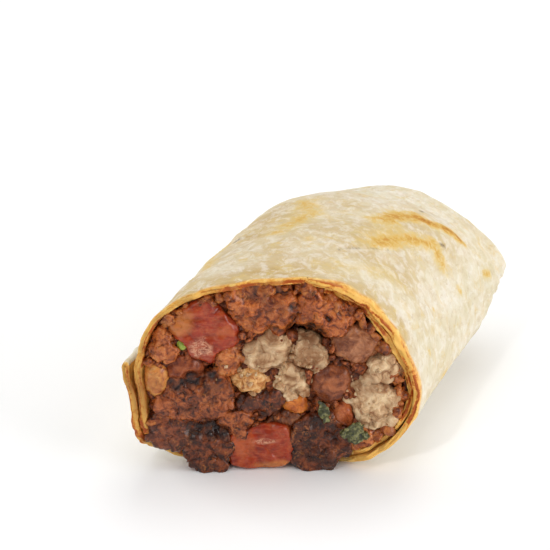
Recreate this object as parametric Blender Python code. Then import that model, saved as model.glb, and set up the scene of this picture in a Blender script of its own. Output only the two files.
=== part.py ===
"""Half of a burrito, cut across and lying on its flat underside.

The cut face looks towards -Y and the tucked end towards +Y. The tortilla is rolled round a filling that
runs through it, and the pieces that show at the cut are solids of their own, set into that filling.
Sizes below are in millimetres. Angles round the roll start at +X and pass over the top.
"""

import math
from dataclasses import dataclass

import bmesh
import bpy
import numpy as np
from mathutils import Matrix, Vector, noise

MM = 0.001

# The roll
WIDTH = 68.0
HEIGHT = 54.8
LENGTH = 88.0  # from the middle of the cut face to the lip of the tucked end
CUT_TURN = math.radians(22)  # the knife's slant, seen from above
CUT_LEAN = math.radians(3.5)  # how far the cut face leans back
MIDDLE = 0.36  # the widest level, as a share of the height
SINK = 0.9  # how much of the round underside is pressed flat
END_TOP = 43.0
END_RISE = 13.0
END_SPREAD = 1.04  # the squashed end is wider than the body
END_SHIFT = 1.0

# The sheet
SHEET = 1.6  # thickness of one layer
SLIP = 0.4  # air between two layers
INNER_EDGE = math.radians(72)
OUTER_EDGE = math.radians(167)
SETTLE_TURN = math.radians(16)
FLARE = 1.2  # how far the outer edge lifts at the cut
RIM_RECESS = 5.0
FULL_TURN = 2 * math.pi
SINGLE_STEPS = 14
DOUBLE_STEPS = 36
SLIP_SHARES = (0, 0.09, 0.17)  # as far back as the two layers show apart
OUTSIDE_SHARES = (*SLIP_SHARES, 0.28, 0.4, 0.52, 0.62, 0.7, 0.76, 0.82, 0.88, 0.93, 0.97, 1.0)
CAVITY_END = 0.88
INSIDE_SHARES = (*SLIP_SHARES, 0.3, 0.45, 0.6, 0.7, 0.78, 0.84, CAVITY_END)
TUCK = ((0.86, 1.6), (0.66, 2.4), (0.46, 1.2), (0.3, -4.0))  # how far the folded end closes, and its bulge

# The filling
FILLING_RECESS = 6.5  # how far the bound filling stays behind the cut, where no piece is set before it
PRESSED_GAP = 0.5  # between pieces pressed together
KNIFE_WAVE = 0.35  # how uneven the cut pieces are
LARGE_PIECE = 13.0  # from this width up, a piece has more faces
SPIKE_LIMIT = 1.15  # how much further a point of a piece may reach than those round it
RIM_CLEARANCE = 1.1  # between the sheet's rim and what hangs over it
SIDE_GAP = 0.5  # between the bound filling and the sheet
FRONT_FRACTIONS = (0.06, 0.19, 0.32, 0.44, 0.56, 0.68, 0.79, 0.9, 1.0)
FRONT_STEP = 4.4  # longer than any edge of the filling's front

# The leaves
LEAF_ROWS = 6
LEAF_COLUMNS = 4
LEAF_THICKNESS = 0.6
LEAF_WAVE = 0.25
LEAVES = (  # name, (across, up, out), length, width, roll, tilt, seed
    ("herb_1", (21.1, 11.5, 1.9), 6.4, 5.6, 30, 18, 1.2),
    ("herb_2", (13.1, 17.6, 1.7), 6.4, 2.6, 14, 10, 2.9),
)

COLOURS = {
    "tortilla": ((0.78, 0.66, 0.46), 0.75),
    "filling": ((0.16, 0.045, 0.018), 0.45),
    "meat": ((0.24, 0.07, 0.025), 0.45),
    "tomato": ((0.55, 0.09, 0.035), 0.2),
    "bean": ((0.36, 0.13, 0.06), 0.4),
    "mash": ((0.50, 0.37, 0.25), 0.7),
    "onion": ((0.55, 0.28, 0.09), 0.3),
    "herb": ((0.09, 0.17, 0.03), 0.5),
}


def clear_scene():
    for obj in list(bpy.data.objects):
        bpy.data.objects.remove(obj, do_unlink=True)


def ease(x, start, end):
    """0 before start, 1 after end, and a smooth rise between them."""
    t = min(1.0, max(0.0, (x - start) / (end - start)))
    return t * t * (3 - 2 * t)


def signed_power(value, power):
    return math.copysign(abs(value) ** power, value)


def cut_y(x, z):
    """The cut plane's y below or above a point of it."""
    return x * math.tan(CUT_TURN) + (z - HEIGHT / 2) * math.tan(CUT_LEAN)


def outline(angle, share):
    """x and z of the roll's outer line, at a share of the way from the cut to the tucked end."""
    cosine = math.cos(angle)
    sine = math.sin(angle)
    squash = ease(share, 0.7, 1.0)
    half = WIDTH / 2 * (1 + (END_SPREAD - 1) * ease(share, 0.6, 1.0))
    top = HEIGHT * (1 - 0.06 * ease(share, 0.1, 0.7))
    top += (END_TOP - top) * ease(share, 0.6, 1.0)
    low = END_RISE * ease(share, 0.72, 1.0) - SINK
    middle = low + (top - low) * MIDDLE
    if sine > 0:
        power = 2.3 - 0.44 * cosine * (1 - ease(share, 0.3, 0.8))
    else:
        power = 2.7 - 0.5 * cosine
    power += (1.5 - power) * squash
    reach = top - middle if sine > 0 else middle - low
    x = half * signed_power(cosine, 2 / power) + END_SHIFT * ease(share, 0.3, 1.0)
    z = middle + reach * signed_power(sine, 2 / power)
    return Vector((x, 0.0, z))


def swell(angle, share):
    """Low bumps where the filling presses on the sheet. The underside has none."""
    height = ease(math.sin(angle), -0.6, 0.3)
    bumps = 0.50 * math.sin(2 * angle + 5 * share + 1.1)
    bumps += 0.40 * math.sin(3 * angle - 8 * share + 0.4)
    bumps += 0.30 * math.sin(5 * angle + 13 * share + 2.0)
    return height * (0.35 + 0.65 * ease(share, 0, 0.3)) * bumps


def roll_point(angle, share, inward):
    """A point of the roll, `inward` of its outer line."""
    step = 0.02
    here = outline(angle, share)
    along = outline(angle + step, share) - outline(angle - step, share)
    outward = Vector((along.z, 0.0, -along.x)).normalized()
    point = here + outward * (swell(angle, share) - inward)
    point.z = max(point.z, max(0.0, inward))
    start = cut_y(point.x, point.z)
    point.y = start + (LENGTH - start) * share
    return point


def stand(angle, share):
    """How far the outer layer stands out from the roll's line, most at its edge near the cut."""
    past = (angle - OUTER_EDGE) % FULL_TURN
    near_edge = 1 - ease(past, 0, SETTLE_TURN)
    ragged = 0.75 + 0.25 * math.sin(99 * share)
    return settle(angle) + FLARE * near_edge * ragged * (1 - ease(share, 0.02, 0.26))


def stretch_angles():
    """Angles of the single-layered stretch, and of the double-layered one that goes on from it."""
    single = [INNER_EDGE + (OUTER_EDGE - INNER_EDGE) * i / SINGLE_STEPS for i in range(SINGLE_STEPS + 1)]
    rest = FULL_TURN - (OUTER_EDGE - INNER_EDGE)
    double = [OUTER_EDGE + rest * i / DOUBLE_STEPS for i in range(DOUBLE_STEPS + 1)]
    return single, double


def settle(angle):
    """How far the double-layered stretch stands out where it starts, over the end of the single one."""
    return (SHEET + SLIP) * (1 - ease((angle - OUTER_EDGE) % FULL_TURN, 0, SETTLE_TURN))


def cavity_line(extra):
    """(angle, inward) all the way round the cavity, `extra` inside the sheet."""
    single, double = stretch_angles()
    line = [(INNER_EDGE + 0.02, SHEET + extra)]
    line += [(angle, SHEET + extra) for angle in single[1:]]
    line += [(angle, 2 * SHEET + SLIP - settle(angle) + extra) for angle in double[1:]]
    return line


def split_and_turn_out(mesh):
    """Splits every face into triangles and points them out of the solid."""
    bmesh.ops.triangulate(mesh, faces=mesh.faces, ngon_method="EAR_CLIP")
    bmesh.ops.recalc_face_normals(mesh, faces=mesh.faces)
    if mesh.calc_volume(signed=True) < 0:
        bmesh.ops.reverse_faces(mesh, faces=mesh.faces)


def new_object(name, mesh, kind):
    data = bpy.data.meshes.new(name)
    mesh.to_mesh(data)
    mesh.free()
    obj = bpy.data.objects.new(name, data)
    bpy.context.scene.collection.objects.link(obj)
    if kind:
        data.materials.append(material(kind))
    return obj


def material(kind):
    found = bpy.data.materials.get(kind)
    if found:
        return found
    colour, roughness = COLOURS[kind]
    made = bpy.data.materials.new(kind)
    made.use_nodes = True
    shader = made.node_tree.nodes["Principled BSDF"]
    shader.inputs["Base Color"].default_value = (*colour, 1.0)
    shader.inputs["Roughness"].default_value = roughness
    shader.inputs["Metallic"].default_value = 0.0
    return made


def smooth(obj):
    obj.data.shade_smooth()
    obj.data.set_sharp_from_angle(angle=math.radians(40))


# The tortilla


def strip(mesh, first, second, skip=None):
    """Faces between two rows of points."""
    for i in range(len(first) - 1):
        if i != skip:
            mesh.faces.new((first[i], first[i + 1], second[i + 1], second[i]))


def rim_roughness(angle):
    return 0.35 * math.sin(9 * angle + 0.7) + 0.25 * math.sin(23 * angle)


def rim_recess(x, z):
    """How far the sheet's rim is set back: along the bottom, the filling hangs over it."""
    along = ease(x, -34, -28) * (1 - ease(x, 12, 24))
    return RIM_RECESS * along * (1 - ease(z, 5, 12))


def sheet_vertex(mesh, angle, share, inward):
    point = roll_point(angle, share, inward)
    if share == 0:
        point.y += rim_roughness(angle) + rim_recess(point.x, point.z)
    return mesh.verts.new(point * MM)


def outside_row(mesh, share):
    """The sheet's outer face at a share of the length, in one ring, and the corner under its outer edge."""
    single, double = stretch_angles()
    ring = [sheet_vertex(mesh, angle, share, 0.0) for angle in single]
    ring.append(sheet_vertex(mesh, OUTER_EDGE, share, SHEET - stand(OUTER_EDGE, share)))
    ring += [sheet_vertex(mesh, angle, share, -stand(angle, share)) for angle in double[:-1]]
    return ring + ring[:1]


def inside_row(mesh, share):
    """The sheet's inner face at a share of the length, in one ring, and the corner over its inner edge."""
    single, double = stretch_angles()
    ring = [sheet_vertex(mesh, angle, share, SHEET) for angle in single]
    ring += [sheet_vertex(mesh, angle, share, 2 * SHEET + SLIP - settle(angle)) for angle in double[1:]]
    ring.append(sheet_vertex(mesh, double[-1], share, SHEET + SLIP))
    return ring + ring[:1]


def slip_rows(mesh, share, outside, inside):
    """Both walls of the air gap between the layers, from the sheet's outer edge to its inner edge."""
    between = stretch_angles()[1][1:-1]
    upper = [sheet_vertex(mesh, angle, share, SHEET - stand(angle, share)) for angle in between]
    lower = [sheet_vertex(mesh, angle, share, SHEET + SLIP - settle(angle)) for angle in between]
    return [outside[SINGLE_STEPS + 1], *upper, inside[0]], [outside[SINGLE_STEPS], *lower, inside[-2]]


def tucked_ring(outside, closeness, y_offset):
    """Points of the folded end, drawn in towards the crease across its middle."""
    crease = END_RISE + (END_TOP - END_RISE) * 0.42
    ring = []
    for vert in outside[:-1]:
        x, _, z = vert.co / MM
        x = END_SHIFT + (x - END_SHIFT) * (1 - 0.1 * (1 - closeness))
        ring.append(Vector((x, LENGTH + y_offset, crease + (z - crease) * closeness)) * MM)
    return ring


def closed_in_ring(inside):
    """Points of the cavity's far end, drawn in where the folds close it."""
    ring = []
    for vert in inside[:-1]:
        x, _, z = vert.co / MM
        ring.append(Vector((x * 0.7, CAVITY_END * LENGTH + 5.0, z + (HEIGHT * 0.45 - z) * 0.3)) * MM)
    return ring


def add_ring(mesh, points):
    ring = [mesh.verts.new(point) for point in points]
    return ring + ring[:1]


def make_tortilla():
    mesh = bmesh.new()
    outside = {share: outside_row(mesh, share) for share in OUTSIDE_SHARES}
    inside = {share: inside_row(mesh, share) for share in INSIDE_SHARES}
    slips = {share: slip_rows(mesh, share, outside[share], inside[share]) for share in SLIP_SHARES}

    for near_share, far_share in zip(OUTSIDE_SHARES, OUTSIDE_SHARES[1:]):
        open_at = SINGLE_STEPS if near_share < SLIP_SHARES[-1] else None
        strip(mesh, outside[near_share], outside[far_share], open_at)
    for near_share, far_share in zip(INSIDE_SHARES, INSIDE_SHARES[1:]):
        open_at = len(inside[0]) - 2 if near_share < SLIP_SHARES[-1] else None
        strip(mesh, inside[near_share], inside[far_share], open_at)
    for near_share, far_share in zip(SLIP_SHARES, SLIP_SHARES[1:]):
        for near_wall, far_wall in zip(slips[near_share], slips[far_share]):
            strip(mesh, near_wall, far_wall)
    strip(mesh, *slips[SLIP_SHARES[-1]])

    upper, lower = slips[0]
    strip(mesh, outside[0][:SINGLE_STEPS + 1], inside[0][:SINGLE_STEPS + 1])
    strip(mesh, outside[0][SINGLE_STEPS + 2:], upper)
    strip(mesh, lower, inside[0][SINGLE_STEPS:-2])

    last = outside[1.0]
    for closeness, y_offset in TUCK:
        following = add_ring(mesh, tucked_ring(outside[1.0], closeness, y_offset))
        strip(mesh, last, following)
        last = following
    mesh.faces.new(last[:-1])
    deepest = add_ring(mesh, closed_in_ring(inside[CAVITY_END]))
    strip(mesh, inside[CAVITY_END], deepest)
    mesh.faces.new(deepest[:-1])
    split_and_turn_out(mesh)
    return new_object("tortilla", mesh, "tortilla")


# The pieces that show at the cut


def cut_frame():
    """Turns (across, up, out) on the cut face, from its bottom centre, into the object's own axes."""
    out = Vector((math.tan(CUT_TURN), -1.0, math.tan(CUT_LEAN))).normalized()
    across = Vector((math.cos(CUT_TURN), math.sin(CUT_TURN), 0.0))
    turn = Matrix((across, out.cross(across), out)).transposed()
    return turn, Vector((0, cut_y(0, 0), 0))


@dataclass
class Piece:
    """A piece of the filling, with its middle and size as (across, up, out) of the cut face."""

    name: str
    kind: str
    middle: tuple
    size: tuple
    roll: float = 0.0  # degrees
    tilt: float = 0.0

    def turn(self):
        roll = Matrix.Rotation(math.radians(self.roll), 3, "Z")
        return np.array(roll @ Matrix.Rotation(math.radians(self.tilt), 3, "X"))

    def depth_inside(self, points):
        """Below 1 inside the piece's own shape, and above 1 outside it."""
        local = (points - np.array(self.middle)) @ self.turn() / (np.array(self.size) / 2)
        boxy = SHAPES[self.kind][0]
        return (np.abs(local) ** boxy).sum(axis=1) ** (1 / boxy)


SHAPES = {  # kind: boxiness, roughness, grain
    "meat": (3.2, 0.20, 0.8),
    "tomato": (4.6, 0.08, 1.2),
    "bean": (2.3, 0.05, 1.0),
    "onion": (3.4, 0.10, 1.0),
    "mash": (2.4, 0.26, 0.55),
    "herb": (2.6, 0.12, 0.8),
}

PIECES = (
    Piece("tomato_1", "tomato", (-17.7, 38.8, -5.0), (16.5, 18.0, 15.0), 38, 16),
    Piece("meat_1", "meat", (-2.6, 46.0, -5.0), (16.5, 12.0, 15.0), 4),
    Piece("meat_2", "meat", (13.7, 44.0, -5.0), (15.5, 11.0, 14.0), -14),
    Piece("meat_3", "meat", (-29.0, 36.2, -4.5), (9.5, 12.5, 11.0), 8),
    Piece("meat_4", "meat", (-20.2, 19.3, -3.5), (21.0, 12.5, 15.0), 16, -10),
    Piece("meat_5", "meat", (-3.4, 19.4, -4.0), (11.5, 6.8, 10.0), 4),
    Piece("meat_6", "meat", (-10.8, 32.2, -4.5), (8.0, 9.0, 10.0), 24),
    Piece("meat_7", "meat", (-26.2, 11.4, -4.0), (12.0, 15.0, 11.0), -12),
    Piece("meat_8", "meat", (-17.1, 7.0, -3.2), (13.5, 13.5, 12.0), -8),
    Piece("meat_9", "meat", (12.3, 7.9, -3.8), (14.5, 15.5, 14.0), -6),
    Piece("meat_10", "meat", (24.4, 6.6, -4.0), (13.5, 9.5, 11.0), 20),
    Piece("meat_11", "meat", (-9.1, 13.5, -3.4), (9.5, 6.8, 10.0), -24),
    Piece("tomato_2", "tomato", (-3.3, 6.2, -3.0), (18.0, 13.5, 13.0), -3, -10),
    Piece("onion_1", "onion", (-31.0, 25.8, -4.0), (8.0, 11.5, 10.0), 6),
    Piece("bean_1", "bean", (21.1, 35.9, -4.5), (12.0, 11.0, 11.0), -20, 12),
    Piece("bean_2", "bean", (15.3, 24.5, -4.2), (10.0, 10.5, 10.5), 12),
    Piece("bean_3", "bean", (-21.6, 29.9, -4.2), (12.0, 8.0, 10.0), 14),
    Piece("bean_4", "bean", (5.7, 18.5, -3.0), (6.0, 4.6, 6.5)),
    Piece("bean_5", "bean", (4.7, 14.4, -4.5), (8.5, 5.4, 8.0), -8),
    Piece("bean_6", "bean", (18.1, 15.0, -4.0), (6.0, 8.4, 8.0), 12),
    Piece("mash_1", "mash", (-1.0, 33.4, -4.0), (13.0, 9.6, 10.5), 8),
    Piece("mash_2", "mash", (9.1, 32.0, -4.2), (11.5, 9.4, 10.5), -10),
    Piece("mash_3", "mash", (5.1, 25.5, -3.2), (9.0, 9.0, 9.5)),
    Piece("mash_4", "mash", (-6.0, 25.6, -3.6), (10.5, 6.5, 8.0), -6),
    Piece("mash_5", "mash", (28.1, 28.5, -4.2), (9.5, 9.5, 9.0)),
    Piece("mash_6", "mash", (26.3, 18.4, -3.4), (13.5, 14.0, 11.0), 20),
    Piece("pepper_1", "herb", (-22.8, 36.2, -1.6), (4.0, 4.6, 5.0), 20),
)


def roll_sections():
    """The cavity's outline at the cut and a little further in, and last the outline of the sheet's rim."""
    sections = []
    for share in (0.0, 0.08, 0.17):
        points = [roll_point(angle, share, inward) for angle, inward in cavity_line(PRESSED_GAP)]
        sections.append(np.array([(point.x, point.z) for point in points]))
    rim = [roll_point(angle, 0.0, 0.0) for angle, _ in cavity_line(0.0)]
    sections.append(np.array([(point.x, point.z) for point in rim]))
    return sections


def in_section(across, up, section):
    """Which points lie inside a closed outline, by counting its sides to the right of each."""
    x0, z0 = section.T
    x1, z1 = np.roll(section, -1, axis=0).T
    rise = np.where(z1 == z0, 1.0, z1 - z0)
    level = up[:, None]
    spans = (z0 > level) != (z1 > level)
    crossing = x0 + (x1 - x0) * (level - z0) / rise
    return (spans & (across[:, None] < crossing)).sum(axis=1) % 2 == 1


def has_room(piece, points, sections):
    """Whether the piece may reach these points, between the knife, the sheet and its neighbours."""
    turn, start = cut_frame()
    placed = points @ np.array(turn).T + np.array(start)
    inside = np.ones(len(points), bool)
    for section in sections[:-1]:
        inside &= in_section(placed[:, 0], placed[:, 2], section)
    recess = np.array([min(rim_recess(x - 4, z + 2), rim_recess(x + 4, z + 2)) for x, _, z in placed])
    behind = placed[:, 1] - np.array([cut_y(x, z) for x, _, z in placed])
    over_rim = (behind < recess - RIM_CLEARANCE) & (placed[:, 2] > PRESSED_GAP)
    over_rim &= in_section(placed[:, 0], placed[:, 2], sections[-1])
    free = (inside | over_rim) & (points[:, 2] < KNIFE_WAVE * np.sin(points[:, 0] * 1.3 + points[:, 1]))
    own = piece.depth_inside(points)
    for other in PIECES:
        if other is not piece:
            margin = PRESSED_GAP * (1 / min(piece.size) + 1 / min(other.size))
            free &= other.depth_inside(points) - own > margin
    return free


def make_piece(piece, number, sections):
    """A lump drawn out from its middle until it meets the knife, the sheet or another piece."""
    boxy, rough, grain = SHAPES[piece.kind]
    mesh = bmesh.new()
    bmesh.ops.create_icosphere(mesh, subdivisions=3 if max(piece.size[:2]) > LARGE_PIECE else 2, radius=1.0)
    reaches = []
    for vert in mesh.verts:
        way = vert.co.normalized()
        reach = sum(abs(c) ** boxy for c in way) ** (-1 / boxy)
        reach *= 1 + rough * noise.noise(way / grain + Vector((number, 1.7 * number, 0.3)))
        reaches.append([way[i] * reach * piece.size[i] / 2 for i in range(3)])
    spokes = np.array(reaches) @ piece.turn().T
    middle = np.array(piece.middle)
    reached = np.full(len(spokes), 0.05)
    free = np.full(len(spokes), True)
    for share in np.linspace(0.1, 1.0, 10):
        free &= has_room(piece, middle + spokes * share, sections)
        reached[free] = share
    for step in (0.05, 0.025, 0.0125):
        further = np.minimum(reached + step, 1.0)
        free = has_room(piece, middle + spokes * further[:, None], sections)
        reached[free] = further[free]
    for _ in range(2):
        around = []
        for vert in mesh.verts:
            around.append(np.mean([reached[edge.other_vert(vert).index] for edge in vert.link_edges]))
        reached = np.minimum(reached, np.array(around) * SPIKE_LIMIT)
    turn, start = cut_frame()
    for vert, spoke, share in zip(mesh.verts, spokes, reached):
        vert.co = (turn @ Vector(middle + spoke * share) + start) * MM
    return new_object(piece.name, mesh, piece.kind)


# The leaves


def make_leaf(name, spot, length, width, roll, tilt, seed):
    """A thin wavy leaf lying on the cut face, with both faces split alike."""
    mesh = bmesh.new()
    faces = []
    for side in (-0.5, 0.5):
        grid = []
        for i in range(LEAF_ROWS + 1):
            along = i / LEAF_ROWS
            wide = width * (0.25 + 0.75 * math.sin(math.pi * (0.12 + 0.76 * along)))
            wide *= 1 + 0.22 * math.sin(9 * along + seed)
            row = []
            for k in range(LEAF_COLUMNS + 1):
                x = (k / LEAF_COLUMNS - 0.5) * wide
                y = (along - 0.5) * length
                z = LEAF_WAVE * (math.sin(1.9 * y + seed) + math.cos(1.6 * x + seed))
                row.append(mesh.verts.new((x, y, z + side * LEAF_THICKNESS)))
            grid.append(row)
        faces.append(grid)
    low, high = faces
    for i in range(LEAF_ROWS):
        for k in range(LEAF_COLUMNS):
            mesh.faces.new((high[i][k], high[i][k + 1], high[i + 1][k + 1]))
            mesh.faces.new((high[i][k], high[i + 1][k + 1], high[i + 1][k]))
            mesh.faces.new((low[i][k], low[i + 1][k + 1], low[i][k + 1]))
            mesh.faces.new((low[i][k], low[i + 1][k], low[i + 1][k + 1]))
    rim = [(0, k) for k in range(LEAF_COLUMNS)] + [(i, LEAF_COLUMNS) for i in range(LEAF_ROWS)]
    rim += [(LEAF_ROWS - i, LEAF_COLUMNS - k) for i, k in rim]
    for (i, k), (a, b) in zip(rim, rim[1:] + rim[:1]):
        mesh.faces.new((low[i][k], low[a][b], high[a][b], high[i][k]))
    split_and_turn_out(mesh)
    lean = Matrix.Rotation(math.radians(roll), 3, "Z") @ Matrix.Rotation(math.radians(tilt), 3, "X")
    turn, start = cut_frame()
    for vert in mesh.verts:
        vert.co = (turn @ (lean @ vert.co + Vector(spot)) + start) * MM
    return new_object(name, mesh, "herb")


# The bound filling


def filling_front(x, z, backs):
    """How far the bound filling lies behind the cut, with crags, and behind every piece set before it."""
    spot = Vector((x / 7.0, z / 7.0, 3.1))
    depth = FILLING_RECESS + 2.6 * noise.noise(spot) + 1.2 * noise.noise(spot * 2.7)
    near = np.hypot(backs[:, 0] - x, backs[:, 2] - z) < FRONT_STEP
    if near.any():
        depth = max(depth, backs[near, 1].max() + PRESSED_GAP)
    return depth


def make_filling(pieces):
    """The mass that fills the roll from the tucked end to just behind the pieces at the cut."""
    backs = np.array([vert.co / MM for piece in pieces for vert in piece.data.vertices])
    backs[:, 1] -= [cut_y(x, z) for x, _, z in backs]
    mesh = bmesh.new()
    line = cavity_line(SIDE_GAP)
    rows = []
    for fraction in FRONT_FRACTIONS:
        row = []
        for angle, inward in line:
            point = roll_point(angle, 0.0, inward)
            point.x *= fraction
            point.z = HEIGHT * 0.45 + (point.z - HEIGHT * 0.45) * fraction
            point.y = cut_y(point.x, point.z) + filling_front(point.x, point.z, backs)
            row.append(point * MM)
        rows.append(add_ring(mesh, row))
    for share in INSIDE_SHARES[3:]:
        rows.append(add_ring(mesh, [roll_point(angle, share, inward) * MM for angle, inward in line]))
    ends = []
    for vert in rows[-1][:-1]:
        x, _, z = vert.co / MM
        ends.append(Vector((x * 0.7, CAVITY_END * LENGTH + 4.0, z + (HEIGHT * 0.45 - z) * 0.3)) * MM)
    rows.append(add_ring(mesh, ends))
    for row, following in zip(rows, rows[1:]):
        strip(mesh, row, following)
    mesh.faces.new(rows[0][:-1])
    mesh.faces.new(rows[-1][:-1])
    split_and_turn_out(mesh)
    return new_object("filling", mesh, "filling")


def centre_on_floor(objects):
    """Puts the origin under the middle of the whole, on the surface it lies on."""
    points = np.array([vert.co for obj in objects for vert in obj.data.vertices])
    low = points.min(axis=0)
    middle = (low + points.max(axis=0)) / 2
    shift = Matrix.Translation((-middle[0], -middle[1], -low[2]))
    for obj in objects:
        obj.data.transform(shift)


def main():
    clear_scene()
    sections = roll_sections()
    tortilla = make_tortilla()
    pieces = [make_piece(piece, number, sections) for number, piece in enumerate(PIECES)]
    filling = make_filling(pieces)
    leaves = [make_leaf(*leaf) for leaf in LEAVES]
    solids = [tortilla, filling, *pieces, *leaves]
    centre_on_floor(solids)
    for obj in solids:
        smooth(obj)


main()
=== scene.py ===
"""The looks of half a cut burrito: a toasted flour tortilla round a wet, crumbly filling.

Sizes are in millimetres, and MM turns them into metres. A place on the roll is (angle, share): the angle
starts at +X and passes over the top, and the share runs from the cut to the tucked end. A place on the
cut face is (across, up, out) from its bottom centre.
"""

import itertools
import math

import bmesh
import bpy
import numpy as np
from mathutils import Matrix, Vector
from mathutils.bvhtree import BVHTree


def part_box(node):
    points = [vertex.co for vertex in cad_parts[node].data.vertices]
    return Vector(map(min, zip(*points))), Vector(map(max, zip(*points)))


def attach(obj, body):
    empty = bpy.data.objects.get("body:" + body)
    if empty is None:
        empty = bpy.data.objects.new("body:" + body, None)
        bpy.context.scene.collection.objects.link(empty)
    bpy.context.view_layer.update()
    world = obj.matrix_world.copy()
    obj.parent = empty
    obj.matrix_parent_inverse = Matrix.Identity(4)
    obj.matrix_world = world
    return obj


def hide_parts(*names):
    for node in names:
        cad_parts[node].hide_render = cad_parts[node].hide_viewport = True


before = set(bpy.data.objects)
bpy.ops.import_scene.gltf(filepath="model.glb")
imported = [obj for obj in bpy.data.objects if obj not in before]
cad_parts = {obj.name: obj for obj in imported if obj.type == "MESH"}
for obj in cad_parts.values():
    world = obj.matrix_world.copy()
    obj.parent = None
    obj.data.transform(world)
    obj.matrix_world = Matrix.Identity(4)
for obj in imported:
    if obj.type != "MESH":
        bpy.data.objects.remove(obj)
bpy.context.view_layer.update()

MM = 0.001
FULL_TURN = 2 * math.pi

# The roll
WIDTH = 68.0
HEIGHT = 54.8
LENGTH = 88.0
UPPER_POWER = 2.3  # how square the outline's upper part is
LOWER_POWER = 2.7
END_POWER = 1.5  # the same at the tucked end
TOP_FALL = 0.06  # the share of the height that the top loses on its way back
CUT_TURN = math.radians(22)
CUT_LEAN = math.radians(3.5)
MIDDLE = 0.36  # the share of the height at which the roll is widest
SINK = 0.9  # what the floor flattens
END_TOP = 43.0  # the tucked end: its top, how far its bottom rises, how much wider it is, how far aside
END_RISE = 13.0
END_SPREAD = 1.04
END_SHIFT = 1.0
SHEET = 1.6  # the sheet's thickness
SLIP = 0.4  # the gap between its two layers near the cut
SMALL_TURN = 0.02  # to either side of a place, for the way that the outline runs there
INNER_EDGE = math.radians(72)
OUTER_EDGE = math.radians(167)
SETTLE_TURN = math.radians(16)  # past its free edge, the sheet needs this much turn to lie down
FLARE = 1.2  # how far its free edge lifts at the cut
RIM_RECESS = 5.0
RIM_FADE = 0.09  # the share over which the rim's unevenness dies out
SLIP_END = 0.17  # the share at which the two layers become one
CAVITY_END = 0.88
CAVITY_MIDDLE = HEIGHT * 0.45
# The folded end, from its lip to its crease: (the share of the way out from the crease, how far past LENGTH)
TUCK = ((1.0, 0.0), (0.86, 1.6), (0.66, 2.4), (0.46, 1.2), (0.3, -4.0), (0.14, -8.0), (0.03, -10.0))

# How finely the sheet is drawn
SINGLE_COLUMNS = 86
DOUBLE_COLUMNS = 240
NOSE_POINTS = 5  # round the thickness of a free edge
NEAR_ROWS = 24  # from the cut to the end of the slip
BODY_ROWS = 118
TUCK_ROWS = 26
INNER_ROWS = 8
RIM_FRACTIONS = (0.12, 0.25, 0.38, 0.5, 0.62, 0.75, 0.88)  # across the sheet's thickness at the cut
RIM_CROWN = 0.4
LAYER_STEP = 1.9  # how far the inner layer's rim stays behind the outer one's

# Toasted marks: the places along each, its half width and how brown it is
TOASTED = (
    (((73, 0.54), (69, 0.63), (62, 0.68)), 3.6, 0.75),
    (((62, 0.675), (56, 0.69), (50, 0.72), (45, 0.75), (40.5, 0.745)), 2.4, 0.95),
    (((67, 0.35), (62, 0.45), (54, 0.53), (47, 0.575)), 2.8, 0.7),
    (((47, 0.575), (41, 0.565), (36, 0.55)), 2.6, 0.62),
    (((70, 0.36), (66, 0.5)), 5.0, 0.35),
    (((18.5, 0.79), (16, 0.83)), 1.8, 0.62),
    (((20.5, 0.58), (18.5, 0.59)), 1.3, 0.55),
    (((14.5, 0.18), (13.5, 0.182)), 0.9, 0.5),
    (((76, 0.12), (62, 0.17), (52, 0.22)), 5.0, 0.28),
    (((104, 0.36), (99, 0.50), (106, 0.60)), 3.4, 0.5),
    (((130, 0.22), (138, 0.33), (134, 0.42)), 2.8, 0.45),
    (((150, 0.66), (141, 0.73)), 2.6, 0.55),
    (((185, 0.30), (194, 0.40), (190, 0.50)), 2.6, 0.42),
    (((-12, 0.34), (-22, 0.46)), 2.6, 0.42),
)
DARK_MARKS = (((64.9, 0.763), (64.1, 0.769)), ((43.8, 0.612), (42.4, 0.622)), ((128, 0.40), (126, 0.41)))
CREASE = ((78, 0.24), (71, 0.29), (66, 0.318), (61, 0.36), (57, 0.405))
CREASE_DEPTH = 0.35
CREASE_WIDTH = 0.9
LOOSE_SPOTS = 46  # small toasted spots that lie anywhere
BLISTERS = 80
ROLL_RADIUS = 31.0  # a mean one, for lengths round the sheet
HOOPS = (0.45, 1.0, 0.45)  # noise drawn out round the roll
WET_GRAIN = 0.32  # how wide the finest bumps of the filling's pieces are
EDGE_BLEND = 0.5  # how far from the free edge the two layers' forms run together

# The camera
CAMERA_TURN = math.radians(20.8)
CAMERA_RISE = math.radians(32)
CAMERA_DISTANCE = 620.0
PIXEL = 0.262  # what a pixel covers at the bottom of the cut face
IMAGE = 550
AIM_BELOW_MIDDLE = 194.5  # pixels from the picture's middle down to the bottom of the cut face
AIM_LEFT_OF_MIDDLE = 2.0
SENSOR = 36.0  # the width of the camera's film


def ease(x, start, end):
    """0 before start, 1 after end, and a smooth rise between them."""
    t = np.clip((x - start) / (end - start), 0.0, 1.0)
    return t * t * (3 - 2 * t)


def srgb(red, green, blue):
    """A colour as a screen shows it, from 0 to 255, turned into the linear one that a shader takes."""
    shares = np.array((red, green, blue)) / 255
    linear = np.where(shares <= 0.04045, shares / 12.92, ((shares + 0.055) / 1.055) ** 2.4)
    return (*linear.tolist(), 1.0)


# Noise


def cell_numbers(cells, seed):
    """A steady number from 0 to 1 for each whole-numbered cell."""
    mixed = np.full(cells.shape[:-1], (seed * 374761393 + 97) % 2**32, np.uint32)
    for axis, factor in enumerate((668265263, 2246822519, 3266489917)):
        column = (cells[..., axis].astype(np.int64) & 0xFFFFFFFF).astype(np.uint32)
        mixed = (mixed ^ column) * np.uint32(factor)
        mixed ^= mixed >> np.uint32(15)
    return (mixed & np.uint32(0xFFFF)) / 65535


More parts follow.
